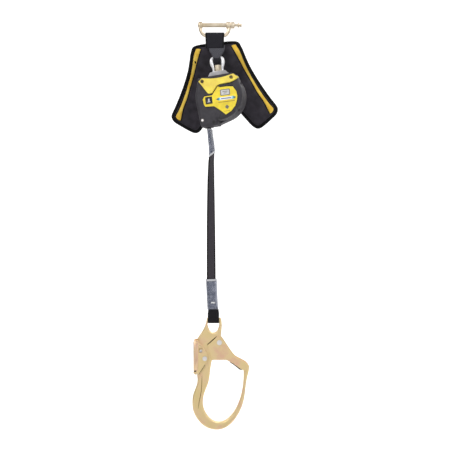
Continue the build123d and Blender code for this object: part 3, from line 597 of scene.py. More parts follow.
# ------------------------------------------------------------------ line
def taper(places):
    """A value that runs straight between (height, value) pairs given from low to high."""
    def at(height):
        if height <= places[0][0]:
            return places[0][1]
        for (low, start), (high, end) in zip(places, places[1:]):
            if height <= high:
                return start + (end - start) * (height - low) / (high - low)
        return places[-1][1]
    return at


LINE_TOP_Z = -190.0
UPPER_SLEEVE = (-223.6, -279.0)
LOWER_SLEEVE = (-546.0, -611.0)
LINE_WIDTH = 19.4
LINE_T = 1.9
LINE_ROWS = 140
HOUSE_TURN = 15.0  # degrees that the housing is turned from facing the front
TURN_START_Z = -217.0
TURN_RUN = 32.0
TOP_TURN = 13.0
SLEEVE_SLANT = 0.9  # the upper sleeve's lower mouth rises to the right
BOTTOM_TURN = 66.0
LINE_BOW = 3.2  # how far the web hangs to the left of a straight line, lowest at the sleeve
SLEEVE_LEAN = taper([(-400, 0.0), (-340, 0.3), (-292, 1.2), (-276, 3.2), (-262, 2.8), (-226, -0.8),
                     (-216, -1.2)])


def line_turn(z):
    """Degrees that the line has turned at a height: quickly under the sleeve, then slower."""
    share = clamp((z - UPPER_SLEEVE[1]) / (LOWER_SLEEVE[0] - UPPER_SLEEVE[1]))
    lead = clamp((TURN_START_Z - z) / TURN_RUN)
    return TOP_TURN * lead + (BOTTOM_TURN - TOP_TURN) * share ** 0.65


def line_across(z):
    turn = math.radians(HOUSE_TURN + line_turn(z))
    return Vector((math.sin(turn), math.cos(turn), 0))


def line_hang(z):
    """The middle of the web as it hangs: leaning at the upper sleeve, then a little to the left."""
    down = clamp((z - UPPER_SLEEVE[1]) / (LOWER_SLEEVE[0] - UPPER_SLEEVE[1]))
    back = clamp((z - LOWER_SLEEVE[0]) / (LOWER_SLEEVE[1] - 6 - LOWER_SLEEVE[0]))
    aside = SLEEVE_LEAN(z) - LINE_BOW * down * (1 - 0.75 * back)
    return line_at(z) + Vector((aside * MM, 0, 0))


def make_line():
    low = LOWER_SLEEVE[1] - 2
    heights = [LINE_TOP_Z + (low - LINE_TOP_Z) * i / LINE_ROWS for i in range(LINE_ROWS + 1)]
    path = [line_hang(z) for z in heights]
    stations = [(spot, line_across(z), LINE_WIDTH * MM) for spot, z in zip(path, heights)]
    piece = dress(web("lifeline", stations, LINE_T * MM), "line")
    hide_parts("lifeline_web")
    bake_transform(piece)


def sleeve_ring(z, width, thick, slant=0.0):
    """A rounded flat ring round the line; slant raises its right side."""
    centre, across = line_hang(z), line_across(z)
    normal = across.cross(LINE_DOWN).normalized()
    across = LINE_DOWN.cross(normal).normalized()
    ring = []
    for angle in circle(40):
        c, s = math.cos(angle), math.sin(angle)
        x = math.copysign(abs(c) ** 0.55, c) * width / 2
        y = math.copysign(abs(s) ** 0.75, s) * thick / 2
        offset = across * (x * MM) + normal * (y * MM)
        ring.append(centre + offset + Vector((0, 0, slant * offset.x)))
    return ring


def make_sleeve(name, node, top, bottom, width, thick, flare, slant):
    """A clear shrunk sleeve with a slightly flared mouth at each end, more at the top."""
    rows, wall = 26, 0.6
    outer, inner = [], []
    for i in range(rows + 1):
        z = top + (bottom - top) * i / rows
        ripple = 0.22 * math.sin(i * 1.7) + 0.12 * math.sin(i * 0.6 + 1)
        mouth = (0.5 if i in (0, rows) else 0.0) + flare * max(0.0, 1 - i / 7)
        lean = slant * max(0.0, (i - rows + 6) / 6)
        outer.append(sleeve_ring(z, width + ripple * 0.4 + mouth, thick + ripple + mouth, lean))
        inner.append(sleeve_ring(z, width - 2 * wall, thick - 2 * wall + ripple, lean))
    piece = loft(name, outer + inner[::-1] + outer[:1], closed_ends=False)
    settle(close_normals(piece, weld=True), "film", "line", (node,))


RIGHT = Vector((1, 0, 0))
BACK = Vector((0, 1, 0))
DOWN = Vector((0, 0, -1))
STRAP_T = 2.4


def loop_stations(centre, across, side, up, radius, rise, waist, width_at, drop=1.0):
    """A web loop round a bar: down the back, round below, and up the front.

    drop stretches the turn below the bar, for a web that hangs slack through an eye.
    """
    flank = []
    for i in range(13):
        share = i / 12
        offset = waist + (radius - waist) * math.sin(share * math.pi / 2)
        flank.append((offset, rise * (1 - share)))
    turn = [(radius * math.cos(a), -radius * drop * math.sin(a))
            for a in (math.pi * i / 20 for i in range(1, 20))]
    points = flank + turn + [(-a, b) for a, b in reversed(flank)]
    return [(centre + side * (a * MM) + up * (b * MM), across, width_at(b) * MM)
            for a, b in points]


def make_end_loop():
    stations = loop_stations(HOOK, RIGHT, BACK, -DOWN, 6.15, 22.5, 1.3,
                             taper([(14, 24.4), (22.5, 22.4)]))
    settle(web("hook_loop", stations, STRAP_T * MM), "loop", "line", ("end_loop",))


# ------------------------------------------------------------------ harness strap
EYE_SHADE_Z = -73.0  # below this the folded web takes the black strap material: painted shade of the bail


def make_straps():
    stations = loop_stations(BOW, RIGHT, BACK, DOWN, 5.1, 28.0, 2.6,
                             taper([(0, 40.6), (28, 38.6)]))
    settle(web("strap_upper", stations, STRAP_T * MM), "strap", "strap",
           ("harness_strap", "tack_patch"))
    stations = loop_stations(EYE, BAIL_X, BAIL_Y, -DOWN, 4.4, 26.0, 1.3,
                             taper([(-13, 9.6), (-9, 13.0), (-3, 14.4), (0, 15.4), (6, 20),
                                    (14, 32), (20, 34)]),
                             drop=2.9)
    piece = dress(web("strap_lower", stations, 2.1 * MM), "eye_web")
    # The web's lower faces take the black strap material: painted shade under the bail.
    piece.data.materials.append(MATERIALS["strap"])
    for face in piece.data.polygons:
        spot = face.center / MM
        if spot.z < EYE_SHADE_Z + 0.5 * abs(spot.x - EYE.x / MM):
            face.material_index = 1
    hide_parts("eye_loop_web")
    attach(piece, "strap")


# ------------------------------------------------------------------ connector and swivel
def tube(name, path, radii):
    """A round bar along a path, with a radius at each point."""
    rings = []
    for i, point in enumerate(path):
        ahead = (path[min(i + 1, len(path) - 1)] - path[max(i - 1, 0)]).normalized()
        back = (BACK - ahead * BACK.dot(ahead)).normalized()
        side = back.cross(ahead)
        rings.append([point + side * (radii[i] * MM * math.cos(a))
                      + back * (radii[i] * MM * math.sin(a)) for a in circle(20)])
    return loft(name, rings)


def make_link():
    """The forged D: straight ears, then a soft curve into the bar that the strap hangs on."""
    half, top, low, corner, radius = 31.0, -4.0, BOW.z / MM, 19.5, 3.7
    points = [(-half, 2.0), (-half, top)]
    points += [(-corner - (half - corner) * math.cos(a), top + (low - top) * math.sin(a))
               for a in (math.radians(9 * i) for i in range(1, 11))]
    points += [(-x, z) for x, z in reversed(points)]
    path = resample([Vector((x, 0, z)) * MM for x, z in points], 70)
    piece = tube("link_bow", path, [radius] * len(path))
    for name, left, right in (("link_ear_left", -35.0, -26.6), ("link_ear_right", 24.6, 34.0)):
        add_ear(piece, name, left, right)
    settle(piece, "champagne", "connector", ("d_link",))


def lathe(name, profile, sides=36):
    """A turned piece about the pin's axis from (x, radius) pairs."""
    rings = [[Vector((x, r * math.cos(a), r * math.sin(a))) * MM
              for a in circle(sides)] for x, r in profile]
    return loft(name, rings, closed_ends=False)


def join_into(piece, other):
    """Adds another mesh to a piece's mesh."""
    work = bmesh.new()
    work.from_mesh(piece.data)
    work.from_mesh(other.data)
    work.to_mesh(piece.data)
    work.free()
    bpy.data.objects.remove(other)


def add_ear(piece, name, left, right):
    """The eye at an end of the D that the pin passes through."""
    bore, outer, ease = 4.7, 7.4, 1.0
    profile = [(left, bore), (left, outer - ease), (left + ease, outer), (right - ease, outer),
               (right, outer - ease), (right, bore), (left, bore)]
    join_into(piece, lathe(name, profile))
    piece.data.shade_smooth()


def make_knob():
    """The waisted pull knob on the end of the pin."""
    profile = [(49.0, 2.9), (49.4, 4.6), (50.6, 5.6), (51.6, 5.3), (52.6, 3.4), (54.0, 2.8),
               (55.2, 3.3), (56.4, 4.6), (57.2, 4.4), (57.8, 3.0), (57.9, 0.1)]
    settle(lathe("pull_knob_turned", profile), "champagne", "cross_pin",
           ("pull_knob",))


def make_lock_collar():
    """The turning collar with its rolled rims and grip flutes."""
    flutes, flute_share = 16, 0.035
    profile = [(35.0, 4.7), (35.0, 6.6), (35.7, 7.4), (36.6, 7.0), (40.6, 7.0), (41.6, 7.4),
               (42.3, 6.6), (42.3, 4.7), (35.0, 4.7)]
    piece = lathe("lock_collar", profile, sides=64)
    for vertex in piece.data.vertices:
        x, y, z = vertex.co / MM
        if 36 < x < 41 and math.hypot(y, z) > 6:
            draw = 1 - flute_share * (math.cos(flutes * math.atan2(z, y)) > 0)
            vertex.co.y *= draw
            vertex.co.z *= draw
    settle(piece, "champagne", "lock_sleeve", ("lock_sleeve",))


def make_bail():
    """The bright swivel eye: thick flanks that draw in beside the nut."""
    side = [(9.6, 54.6, 2.3), (9.5, 58.5, 2.3), (9.6, 62.5, 2.5), (10.4, 66.8, 3.0),
            (11.5, 71.0, 3.6), (12.2, 75.5, 3.9), (12.2, 80.0, 3.8), (11.2, 83.6, 3.3),
            (9.0, 85.6, 2.8), (6.0, 85.9, 2.7)]
    whole = side + [(-x, z, r) for x, z, r in reversed(side)]
    dense = smooth_line(whole)
    path = [DRUM + (BAIL_X * p.x + HOUSE_Z * p.y) * MM for p in dense]
    settle(tube("bail_ring", path, [p.z for p in dense]), "bright", "swivel_eye")
    base = soften("bail_base", "swivel_bail", 0.5, 3, "swivel_eye")
    keep_below(base, 57.0)
    dress(base, "bright")


def keep_below(piece, height):
    """Keeps only what lies under a height in the housing's frame, and closes the cut."""
    work = bmesh.new()
    work.from_mesh(piece.data)
    cut = bmesh.ops.bisect_plane(work, geom=work.verts[:] + work.edges[:] + work.faces[:],
                                 plane_co=house(0, 0, height), plane_no=HOUSE_Z,
                                 clear_outer=True)
    rim = [g for g in cut["geom_cut"] if isinstance(g, bmesh.types.BMEdge)]
    bmesh.ops.holes_fill(work, edges=rim, sides=0)
    work.to_mesh(piece.data)
    work.free()


# ------------------------------------------------------------------ pad
PAD_EDGE = [(0, 2), (44.5, 0), (55, -12.5), (61, -33), (67.7, -55), (78.6, -81), (92.4, -109),
            (106, -133), (116, -149), (118, -157), (114, -167), (102, -177), (87, -188),
            (74, -195.5), (64, -195), (53, -185), (40, -167), (0, -118)]
STRIPE_OUTER = [(43, -7), (50.2, -22), (55.8, -43), (63.6, -68), (75.8, -97), (88.4, -123),
                (100.8, -144), (108.6, -156), (104, -164)]
STRIPE_INNER = [(33, -9), (39.4, -24), (47.2, -43.3), (55.6, -65.5), (66.8, -91.5),
                (77.8, -118), (88.2, -137), (94.6, -153.3), (99, -165.5)]
PAD_ROLL = math.radians(6.5)
PAD_ORIGIN = Vector((2.0, 0.0, -24.3))
PAD_T = 12.0
NECK_Y = 8.5
PAD_NECK_DRAW = 0.0293  # share by which the neck is drawn towards the point below
PAD_DRAW_X = 22.0
PAD_DRAW_Z = -429.6
PAD_SWAY = 2.6  # the wings' shift to the right at PAD_SWAY_AT below the top
PAD_SWAY_AT = 160.0
PAD_UNROLL = 0.034
PAD_LEFT_SPREAD = 2.8  # how much further out the left side lies, less towards its foot
PAD_SPREAD_RUN = 40.0
PAD_LEAN_Z = -40.0  # where the neck starts to lean back to the wings
PAD_LEAN_RUN = 62.0
PAD_CORE_INSET = 2.5
PAD_EASE = 1.5
PAD_CELL = 0.004  # size of the pad mesh's cells, and how far one may move, in metres
RIM_HELD = 5.0  # how far in from the edge the tape holds the fabric
SWELL_FRAMES = 20
TAPE_INSET = 5.0
STITCH_INSET = 7.0
STRIPE_ROWS = 90
PIPING_ROWS = 110


def pad_bend(point):
    """From the flat pad (x right, y back from its front face, z up) to its place.

    The neck comes forward to the strap and is drawn in a little as it does. The wings hang
    a little to the right and straighter than the neck.
    """
    sway = -point.z / PAD_SWAY_AT
    spread = clamp(-point.x / PAD_SPREAD_RUN) * (1 - 0.75 * clamp((sway - 0.75) / 0.44))
    flat_x = point.x + PAD_SWAY * sway - PAD_LEFT_SPREAD * spread
    flat_z = point.z - PAD_UNROLL * sway * point.x
    x = PAD_ORIGIN.x + flat_x * math.cos(PAD_ROLL) - flat_z * math.sin(PAD_ROLL)
    z = PAD_ORIGIN.z + flat_x * math.sin(PAD_ROLL) + flat_z * math.cos(PAD_ROLL)
    share = clamp((PAD_LEAN_Z - z) / PAD_LEAN_RUN)
    eased = share * share * (3 - 2 * share)
    lean = 0.4 * share + 0.6 * eased
    depth = NECK_Y + (PAD_FRONT - NECK_Y) * lean
    draw = 1 - PAD_NECK_DRAW * (1 - lean)
    x = PAD_DRAW_X + (x - PAD_DRAW_X) * draw
    z = PAD_DRAW_Z + (z - PAD_DRAW_Z) * draw
    return Vector((x, depth + point.y, z)) * MM


def pad_outline():
    """The whole outline, corners eased, as flat points about 4 mm apart."""
    left = [(-x, z) for x, z in reversed(PAD_EDGE[1:-1])]
    dense = smooth_line(PAD_EDGE + left, closed=True)
    dense.append(dense[0])
    return resample(dense, int(length_of(dense) / 4) + 1)[:-1]


def inset_outline(outline, amount):
    """The outline moved inwards, along the bisector at each point."""
    points = [Vector(p) for p in outline]
    out, count = [], len(points)
    for i, point in enumerate(points):
        ahead = (points[(i + 1) % count] - points[i - 1]).normalized()
        out.append(point + Vector((ahead.y, -ahead.x)) * amount)
    return out


def edge_distance(x, z, outline):
    return min((Vector((x, z)) - p).length for p in outline)


def pad_blank(core):
    """A closed flat form over the core outline, in even cells."""
    count = len(core)
    verts = [Vector((p.x, depth, p.y)) * MM for depth in (PAD_EASE, PAD_T - PAD_EASE) for p in core]
    faces = [tuple(range(count)), tuple(range(2 * count - 1, count - 1, -1))]
    faces += [(i, (i + 1) % count, count + (i + 1) % count, count + i) for i in range(count)]
    piece = close_normals(add_mesh("pad_body", verts, faces))
    remesh = piece.modifiers.new("even", "REMESH")
    remesh.mode = "VOXEL"
    remesh.voxel_size = PAD_CELL
    apply_modifiers(piece)
    return piece


def make_pad():
    outline = pad_outline()
    core = inset_outline(outline, PAD_CORE_INSET)
    piece = pad_blank(core)
    inflate(piece, core)
    relax = piece.modifiers.new("relax", "SMOOTH")
    relax.iterations = 4
    finer = piece.modifiers.new("finer", "SUBSURF")
    finer.levels = finer.render_levels = 1
    apply_modifiers(piece)
    crown_and_sew(piece, core)
    piece.data.shade_smooth()
    surface = surface_of(piece)
    make_stripes(surface)
    make_piping(surface)
    make_pad_binding(outline)
    make_pad_stitches(surface, outline)
    for vertex in piece.data.vertices:
        vertex.co = pad_bend(vertex.co / MM)
    settle(piece, "pad", "strap", ("pad_core", "pad_back_panel"))


def inflate(piece, core):
    """Swells a closed fabric form by cloth simulation, and keeps each point near its start.

    The rim is sewn into the tape, so it stays where it is.
    """
    scene = bpy.context.scene
    rim = piece.vertex_groups.new(name="rim")
    for vertex in piece.data.vertices:
        x, _, z = vertex.co / MM
        if edge_distance(x, z, core) < RIM_HELD:
            rim.add([vertex.index], 1.0, "REPLACE")
    start = [v.co.copy() for v in piece.data.vertices]
    settings = piece.modifiers.new("swell", "CLOTH").settings
    settings.vertex_group_mass = rim.name
    settings.use_pressure = True
    settings.uniform_pressure_force = 4.0
    settings.effector_weights.gravity = 0.0
    settings.tension_stiffness = 20
    settings.bending_stiffness = 2.0
    for number in range(1, SWELL_FRAMES + 1):
        scene.frame_set(number)
    apply_modifiers(piece)
    for vertex, origin in zip(piece.data.vertices, start):
        move = vertex.co - origin
        if move.length > PAD_CELL:
            vertex.co = origin + move * (PAD_CELL / move.length)
    scene.frame_set(1)


def stripe_lines():
    """Both edges of both stripes as flat points: seams where the pad is drawn in."""
    return [[Vector((side * x, z)) for x, z in edge]
            for side in (1, -1) for edge in (STRIPE_OUTER, STRIPE_INNER)]


def segment_distance(point, line):
    best = 1e9
    for a, b in zip(line, line[1:]):
        run = b - a
        t = clamp((point - a).dot(run) / run.length_squared)
        best = min(best, (a + run * t - point).length)
    return best


def crown_and_sew(piece, core):
    """Keeps the back flat, limits the crown, and draws the front in along the sewn lines."""
    rim_rise, rim_run, dent_depth, dent_run = 2.6, 7.0, 1.5, 2.6
    seams = stripe_lines()
    for vertex in piece.data.vertices:
        x, y, z = vertex.co / MM
        if y > PAD_T / 2:
            vertex.co.y = min(y, PAD_T - 0.2) * MM
            continue
        limit = 0.6 + rim_rise * math.exp(-edge_distance(x, z, core) / rim_run)
        groove = min(segment_distance(Vector((x, z)), seam) for seam in seams)
        dent = dent_depth * math.exp(-(groove / dent_run) ** 2)
        vertex.co.y = (max(y, limit) + dent) * MM


def front_depth(surface, x, z):
    """Depth of the pad's front face at a flat point."""
    hit = surface.ray_cast(Vector((x, -40, z)) * MM, Vector((0, 1, 0)))[0]
    return hit.y / MM if hit else 2.0


def make_stripes(surface):
    lines = [resample(smooth_line(line), STRIPE_ROWS) for line in stripe_lines()]
    for name, outer, inner in (("right", *lines[:2]), ("left", *lines[2:])):
        rings = []
        for a, b in zip(outer, inner):
            top, under = [], []
            for i in range(7):
                share = i / 6
                p = a.lerp(b, share)
                face = front_depth(surface, p.x, p.y)
                puff = 0.5 * math.sin(math.pi * share)
                top.append(pad_bend(Vector((p.x, face - 0.55 - puff, p.y))))
                under.append(pad_bend(Vector((p.x, face + 0.4, p.y))))
            rings.append(top + under[::-1])
        settle(loft("stripe_" + name, rings), "stripe", "strap",
               ("pad_stripe_" + name,))


def make_piping(surface):
    """Black piping sewn along both edges of each stripe, and a tab on the left one."""
    half_width, half_height, last = 1.25, 0.9, PIPING_ROWS - 1
    for number, line in enumerate(stripe_lines()):
        outward = 1 if number % 2 == 0 else -1
        places = resample(smooth_line(line), PIPING_ROWS)
        rings = []
        for i, p in enumerate(places):
            ahead = (places[min(i + 1, last)] - places[max(i - 1, 0)]).normalized()
            side = Vector((ahead.y, -ahead.x)) * (-outward if line[0].x > 0 else outward)
            middle = p + side * 0.9
            face = front_depth(surface, middle.x, middle.y) - 0.2
            ring = []
            for a in circle(8):
                spot = middle + side * (half_width * math.cos(a))
                ring.append(pad_bend(Vector((spot.x, face + half_height * math.sin(a), spot.y))))
            rings.append(ring)
        settle(loft(f"stripe_piping_{number}", rings), "binding", "strap")
    tab = [(-50.0, -40.5), (-46.6, -39.5), (-47.6, -34.5), (-50.5, -35.5)]
    rings = [[pad_bend(Vector((x, front_depth(surface, x, z) - lift, z))) for x, z in tab]
             for lift in (-0.5, 1.6)]
    settle(loft("stripe_tab", rings), "binding", "strap")


def make_pad_binding(outline):
    """Tape folded round the pad's edge."""
    rings = []
    for edge, inside in zip(outline, inset_outline(outline, TAPE_INSET)):
        out = (edge - inside).normalized()
        ring = []
        for angle in circle(14):
            c, s = math.cos(angle), math.sin(angle)
            reach = 5.4 * math.copysign(abs(c) ** 0.8, c) if c > 0 else 1.6 * c
            rise = 5.3 * math.copysign(abs(s) ** 0.7, s)
            p = inside + out * reach
            ring.append(pad_bend(Vector((p.x, PAD_T / 2 + rise, p.y))))
        rings.append(ring)
    piece = loft("pad_edge_tape", rings + rings[:1], closed_ends=False)
    settle(close_normals(piece, weld=True), "binding", "strap", ("pad_binding",))


def stitch_row(points, surface, lift, verts, faces):
    """Short raised stitches along a flat line, lifted off the fabric."""
    pitch, length = 3.2, 2.1
    places = resample(points, max(2, int(length_of(points) / pitch)))
    for a, b in zip(places, places[1:]):
        ahead = (b - a).normalized()
        aside = Vector((-ahead.y, ahead.x)) * 0.32
        ends = (a, a + ahead * length)
        base = len(verts)
        for p in ends:
            for q, crown in ((p - aside, 0.0), (p, 0.45), (p + aside, 0.0), (p, -0.3)):
                depth = front_depth(surface, q.x, q.y) - lift - crown
                verts.append(pad_bend(Vector((q.x, depth, q.y))))
        for i in range(4):
            j = (i + 1) % 4
            faces.append((base + i, base + j, base + 4 + j, base + 4 + i))
        faces.append((base + 3, base + 2, base + 1, base))
        faces.append((base + 4, base + 5, base + 6, base + 7))


def make_pad_stitches(surface, outline):
    verts, faces = [], []
    for line, lift in ([(inset_outline(outline, STITCH_INSET), 0.1)]
                       + [(smooth_line(line), 0.6) for line in stripe_lines()]):
        stitch_row(line, surface, lift, verts, faces)
    piece = close_normals(add_mesh("pad_stitching", verts, faces))
    settle(piece, "thread", "strap")


# ------------------------------------------------------------------ housing dress
DECAL_SUNK = 0.05


def decal(name, outline, face, lift, material):
    """A thin printed or moulded shape, or a patch of painted shade, on the housing's front, with
    sharp edges.
    """
    count = len(outline)
    work = bmesh.new()
    low, top = ([work.verts.new(house(x, depth, z)) for x, z in outline]
                for depth in (face + DECAL_SUNK, face - lift))
    work.faces.new(low)
    work.faces.new(top)
    for i in range(count):
        j = (i + 1) % count
        work.faces.new((low[i], low[j], top[j], top[i]))
    bmesh.ops.recalc_face_normals(work, faces=work.faces)
    bmesh.ops.triangulate(work, faces=[f for f in work.faces if len(f.verts) > 4])
    mesh = bpy.data.meshes.new(name)
    work.to_mesh(mesh)
    work.free()
    piece = bpy.data.objects.new(name, mesh)
    bpy.context.scene.collection.objects.link(piece)
    settle(piece, material, "housing")


LABEL = [(1.6, 18.4), (6.5, 15.6), (20, 15.6), (34.2, 13), (40.6, 2), (41.9, -7.3),
         (40.2, -16.5), (34.9, -28), (25.2, -37.6), (12.8, -43.4), (2.6, -33.2), (-10.9, -22),
         (-30, -20.2), (-32.4, -15.6), (-34, -4), (-29.6, 1.6), (-12.2, 1.5), (-7.5, 7.6)]
PLATE = [(37.8, 39.3), (49.3, 30), (36.8, 24.3), (29.6, 22.4), (5.5, 21.8), (0, 19.6),
         (-11.5, 6.2), (-19, 5.6), (-22, 8.2), (-38.6, 35), (-30, 40.9), (-16.5, 37.2),
         (-3, 36), (12, 36.2), (26, 37.2)][::-1]
PLATE_SCREWS = [(-30.2, 33.6), (33.6, 32.4)]
LABEL_TURN = -2.0  # degrees by which the marks run down to the right of the housing's level


def make_label():
    """A black rim under a yellow face, with plain generic marks on it, and black pieces of painted
    shadow round the raised plate and in the slot between plate and label.
    """
    decal("label_rim", inset_outline(LABEL, -1.7), CASE_FACE, 0.8, "black_print")
    # Painted shadow: a black rim just outside the raised plate.
    decal("plate_shadow_rim", inset_outline(PLATE, -1.0), CASE_FACE, 0.7, "black_print")
    decal("label_yellow", inset_outline(LABEL, 0.5), LABEL_FACE, 0.3, "label")
    # Painted shade: a black block in the shaded slot between the plate and the label.
    decal("label_slot_shade", [(4.5, 16.6), (33, 15.0), (33.6, 19.8), (6, 20.6)], CASE_FACE, 2.6,
          "black_print")
    level, badge = LABEL_FACE - 0.3, CASE_FACE - 2.0
    decal("plaque", rounded(16.4, 3.4, 21.6, 13.4, 2.2), level, 0.2, "grey_print")
    decal("plaque_field", rounded(16.4, 3.4, 18, 9.8, 1.4), level - 0.2, 0.1, "pale_print")
    for row, wide in enumerate((11, 7)):
        decal(f"plaque_bar_{row}", rounded(16.4, 5.1 - 3.4 * row, wide, 1.4, 0.5), level - 0.3,
              0.1, "grey_print")
    x, z = 17.2, -9.4
    decal("banner", rounded(x, z, 28, 5.8, 0.6), level, 0.2, "white_print")
    decal("banner_line", rounded(x, z, 22, 2.2, 0.8), level - 0.2, 0.1, "blue_print")
    for name, side in (("left", -1), ("right", 1)):
        decal("banner_sky_" + name, rounded(x + side * 14.6, z - side * 0.5, 4.4, 5.8, 0.6),
              level, 0.25, "sky_print")
        tip = [(x + side * out, z + up - side * 0.7) for out, up in ((22, 0), (16, 3), (16, -3))]
        decal("banner_tip_" + name, tip, level, 0.3, "teal_print")
    decal("label_line_1", rounded(17.4, -16.4, 36, 1.6, 0.6), level, 0.1, "ochre_print")
    decal("label_line_2", rounded(15.4, -36.2, 14, 1.0, 0.4), level, 0.1, "ochre_print")
    decal("label_mark", [(17.4, -32.6), (12.8, -27.8), (17.4, -23.0), (22, -27.8)], level, 0.1,
          "grey_print")
    decal("badge_mark", rounded(-20.6, -8.2, 3.4, 7.4, 1.2), badge, 0.12, "pale_print")
    decal("badge_foot", rounded(-20.6, -11.5, 7.0, 1.6, 0.6), badge, 0.14, "pale_print")


def rounded(x, z, width, height, corner):
    """A rounded rectangle's outline, level with the label's marks."""
    points = []
    tip = math.radians(LABEL_TURN)
    for turn, (side, top) in enumerate(((1, 1), (-1, 1), (-1, -1), (1, -1))):
        for step in range(5):
            angle = math.radians(90 * turn + 22.5 * step)
            right = side * (width / 2 - corner) + corner * math.cos(angle)
            up = top * (height / 2 - corner) + corner * math.sin(angle)
            points.append((x + right * math.cos(tip) - up * math.sin(tip),
                           z + right * math.sin(tip) + up * math.cos(tip)))
    return points


def make_case_details():
    """A black strip of painted shade in the valley beside the nozzle block, and two small latches
    on the right flank.
    """
    # Painted shade: a thin black strip along the valley beside the nozzle block.
    decal("nozzle_valley_shade", [(0.2, -41.5), (1.3, -41.7), (-4.0, -54.0), (-5.2, -53.4)],
          CASE_FACE, 0.12, "black_print")
    for name, angle, reach, wide in (("latch_high", 23, 1.6, 5.0), ("latch_low", -43, 2.0, 6.0)):
        a = math.radians(angle)
        out, along = Vector((math.cos(a), math.sin(a))), Vector((-math.sin(a), math.cos(a)))
        root, tip = wide / 2, wide / 2 - 1
        corners = [out * r + along * t
                   for r, t in ((CASE_R - 1, -root), (CASE_R + reach, -tip),
                                (CASE_R + reach, tip), (CASE_R - 1, root))]
        rings = [[house(p.x, depth, p.y) for p in corners] for depth in (-12, 6)]
        settle(loft(name, rings), "case", "housing")


def make_screw_recess():
    """Black crosses of painted shade on the plate's screws for their recesses; a bright stud, a
    black disc of painted shade for a deep hole, and a plug on the cover.
    """
    # The black disc is painted shade standing for the cover's deep hole.
    for name, x, z, radius, finish in (("cover_stud", -40.0, -47.5, 2.5, "rivet"),
                                       ("cover_hole_shade", -15.0, -55.0, 3.7, "black_print"),
                                       ("cover_plug", 33.5, -33.5, 3.75, "case")):
        decal(name, ring_points(x, z, radius), CASE_FACE + 0.3, 0.3, finish)
    screw_top = PLATE_FACE - 1.6
    for number, (x, z) in enumerate(PLATE_SCREWS):
        for turn, (half, wide) in enumerate(((2.2, 0.5), (0.5, 2.2))):
            bar = [(x - half, z - wide), (x + half, z - wide), (x + half, z + wide),
                   (x - half, z + wide)]
            # Painted shade: two black bars crossed for each screw's recess.
            decal(f"screw_recess_shade_{number}_{turn}", bar, screw_top, 0.06, "black_print")


# ------------------------------------------------------------------ hook dress
def round_hook():
    """The forged hook with generously rounded edges."""
    piece = soften("hook_forging", "hook_body", 1.0, 20, "hook")
    swell = piece.modifiers.new("swell", "DISPLACE")
    swell.mid_level = 0.0
    swell.strength = 0.0003
    apply_modifiers(piece)
    piece.data.shade_smooth()
    dress(piece, "yellow_zinc")
    return surface_of(piece)


STRIP_ROWS = 40
STRIP_LIFT = 0.08
STRIP_SUNK = -0.4
HOOK_HALF = 7.0
CHEEK_INSIDE = 9.8  # clear of the gate's outside
CHEEK_OUTSIDE = 11.6


def lay_strip(name, surface, line, width, material, sign):
    """A narrow strip laid on the hook's front (-1) or rear (1) face, tapered at both ends."""
    last = STRIP_ROWS - 1
    places = resample(smooth_line(line), STRIP_ROWS)
    rings = []
    for i, p in enumerate(places):
        ahead = (places[min(i + 1, last)] - places[max(i - 1, 0)]).normalized()
        half = width / 2 * min(1.0, 0.25 + min(i, last - i) / 8)
        aside = Vector((-ahead.y, ahead.x)) * half
        ring = []
        for spot, raise_by in ((p - aside, STRIP_SUNK), (p - aside, STRIP_LIFT),
                               (p + aside, STRIP_LIFT), (p + aside, STRIP_SUNK)):
            start = hook_at(spot.x, spot.y, sign * 40)
            hit = surface.ray_cast(start, Vector((0, -sign, 0)))[0]
            depth = hit.y if hit else HOOK.y + sign * HOOK_HALF * MM
            ring.append(Vector((start.x, depth + sign * raise_by * MM, start.z)))
        rings.append(ring)
    settle(loft(name, rings), material, "hook")


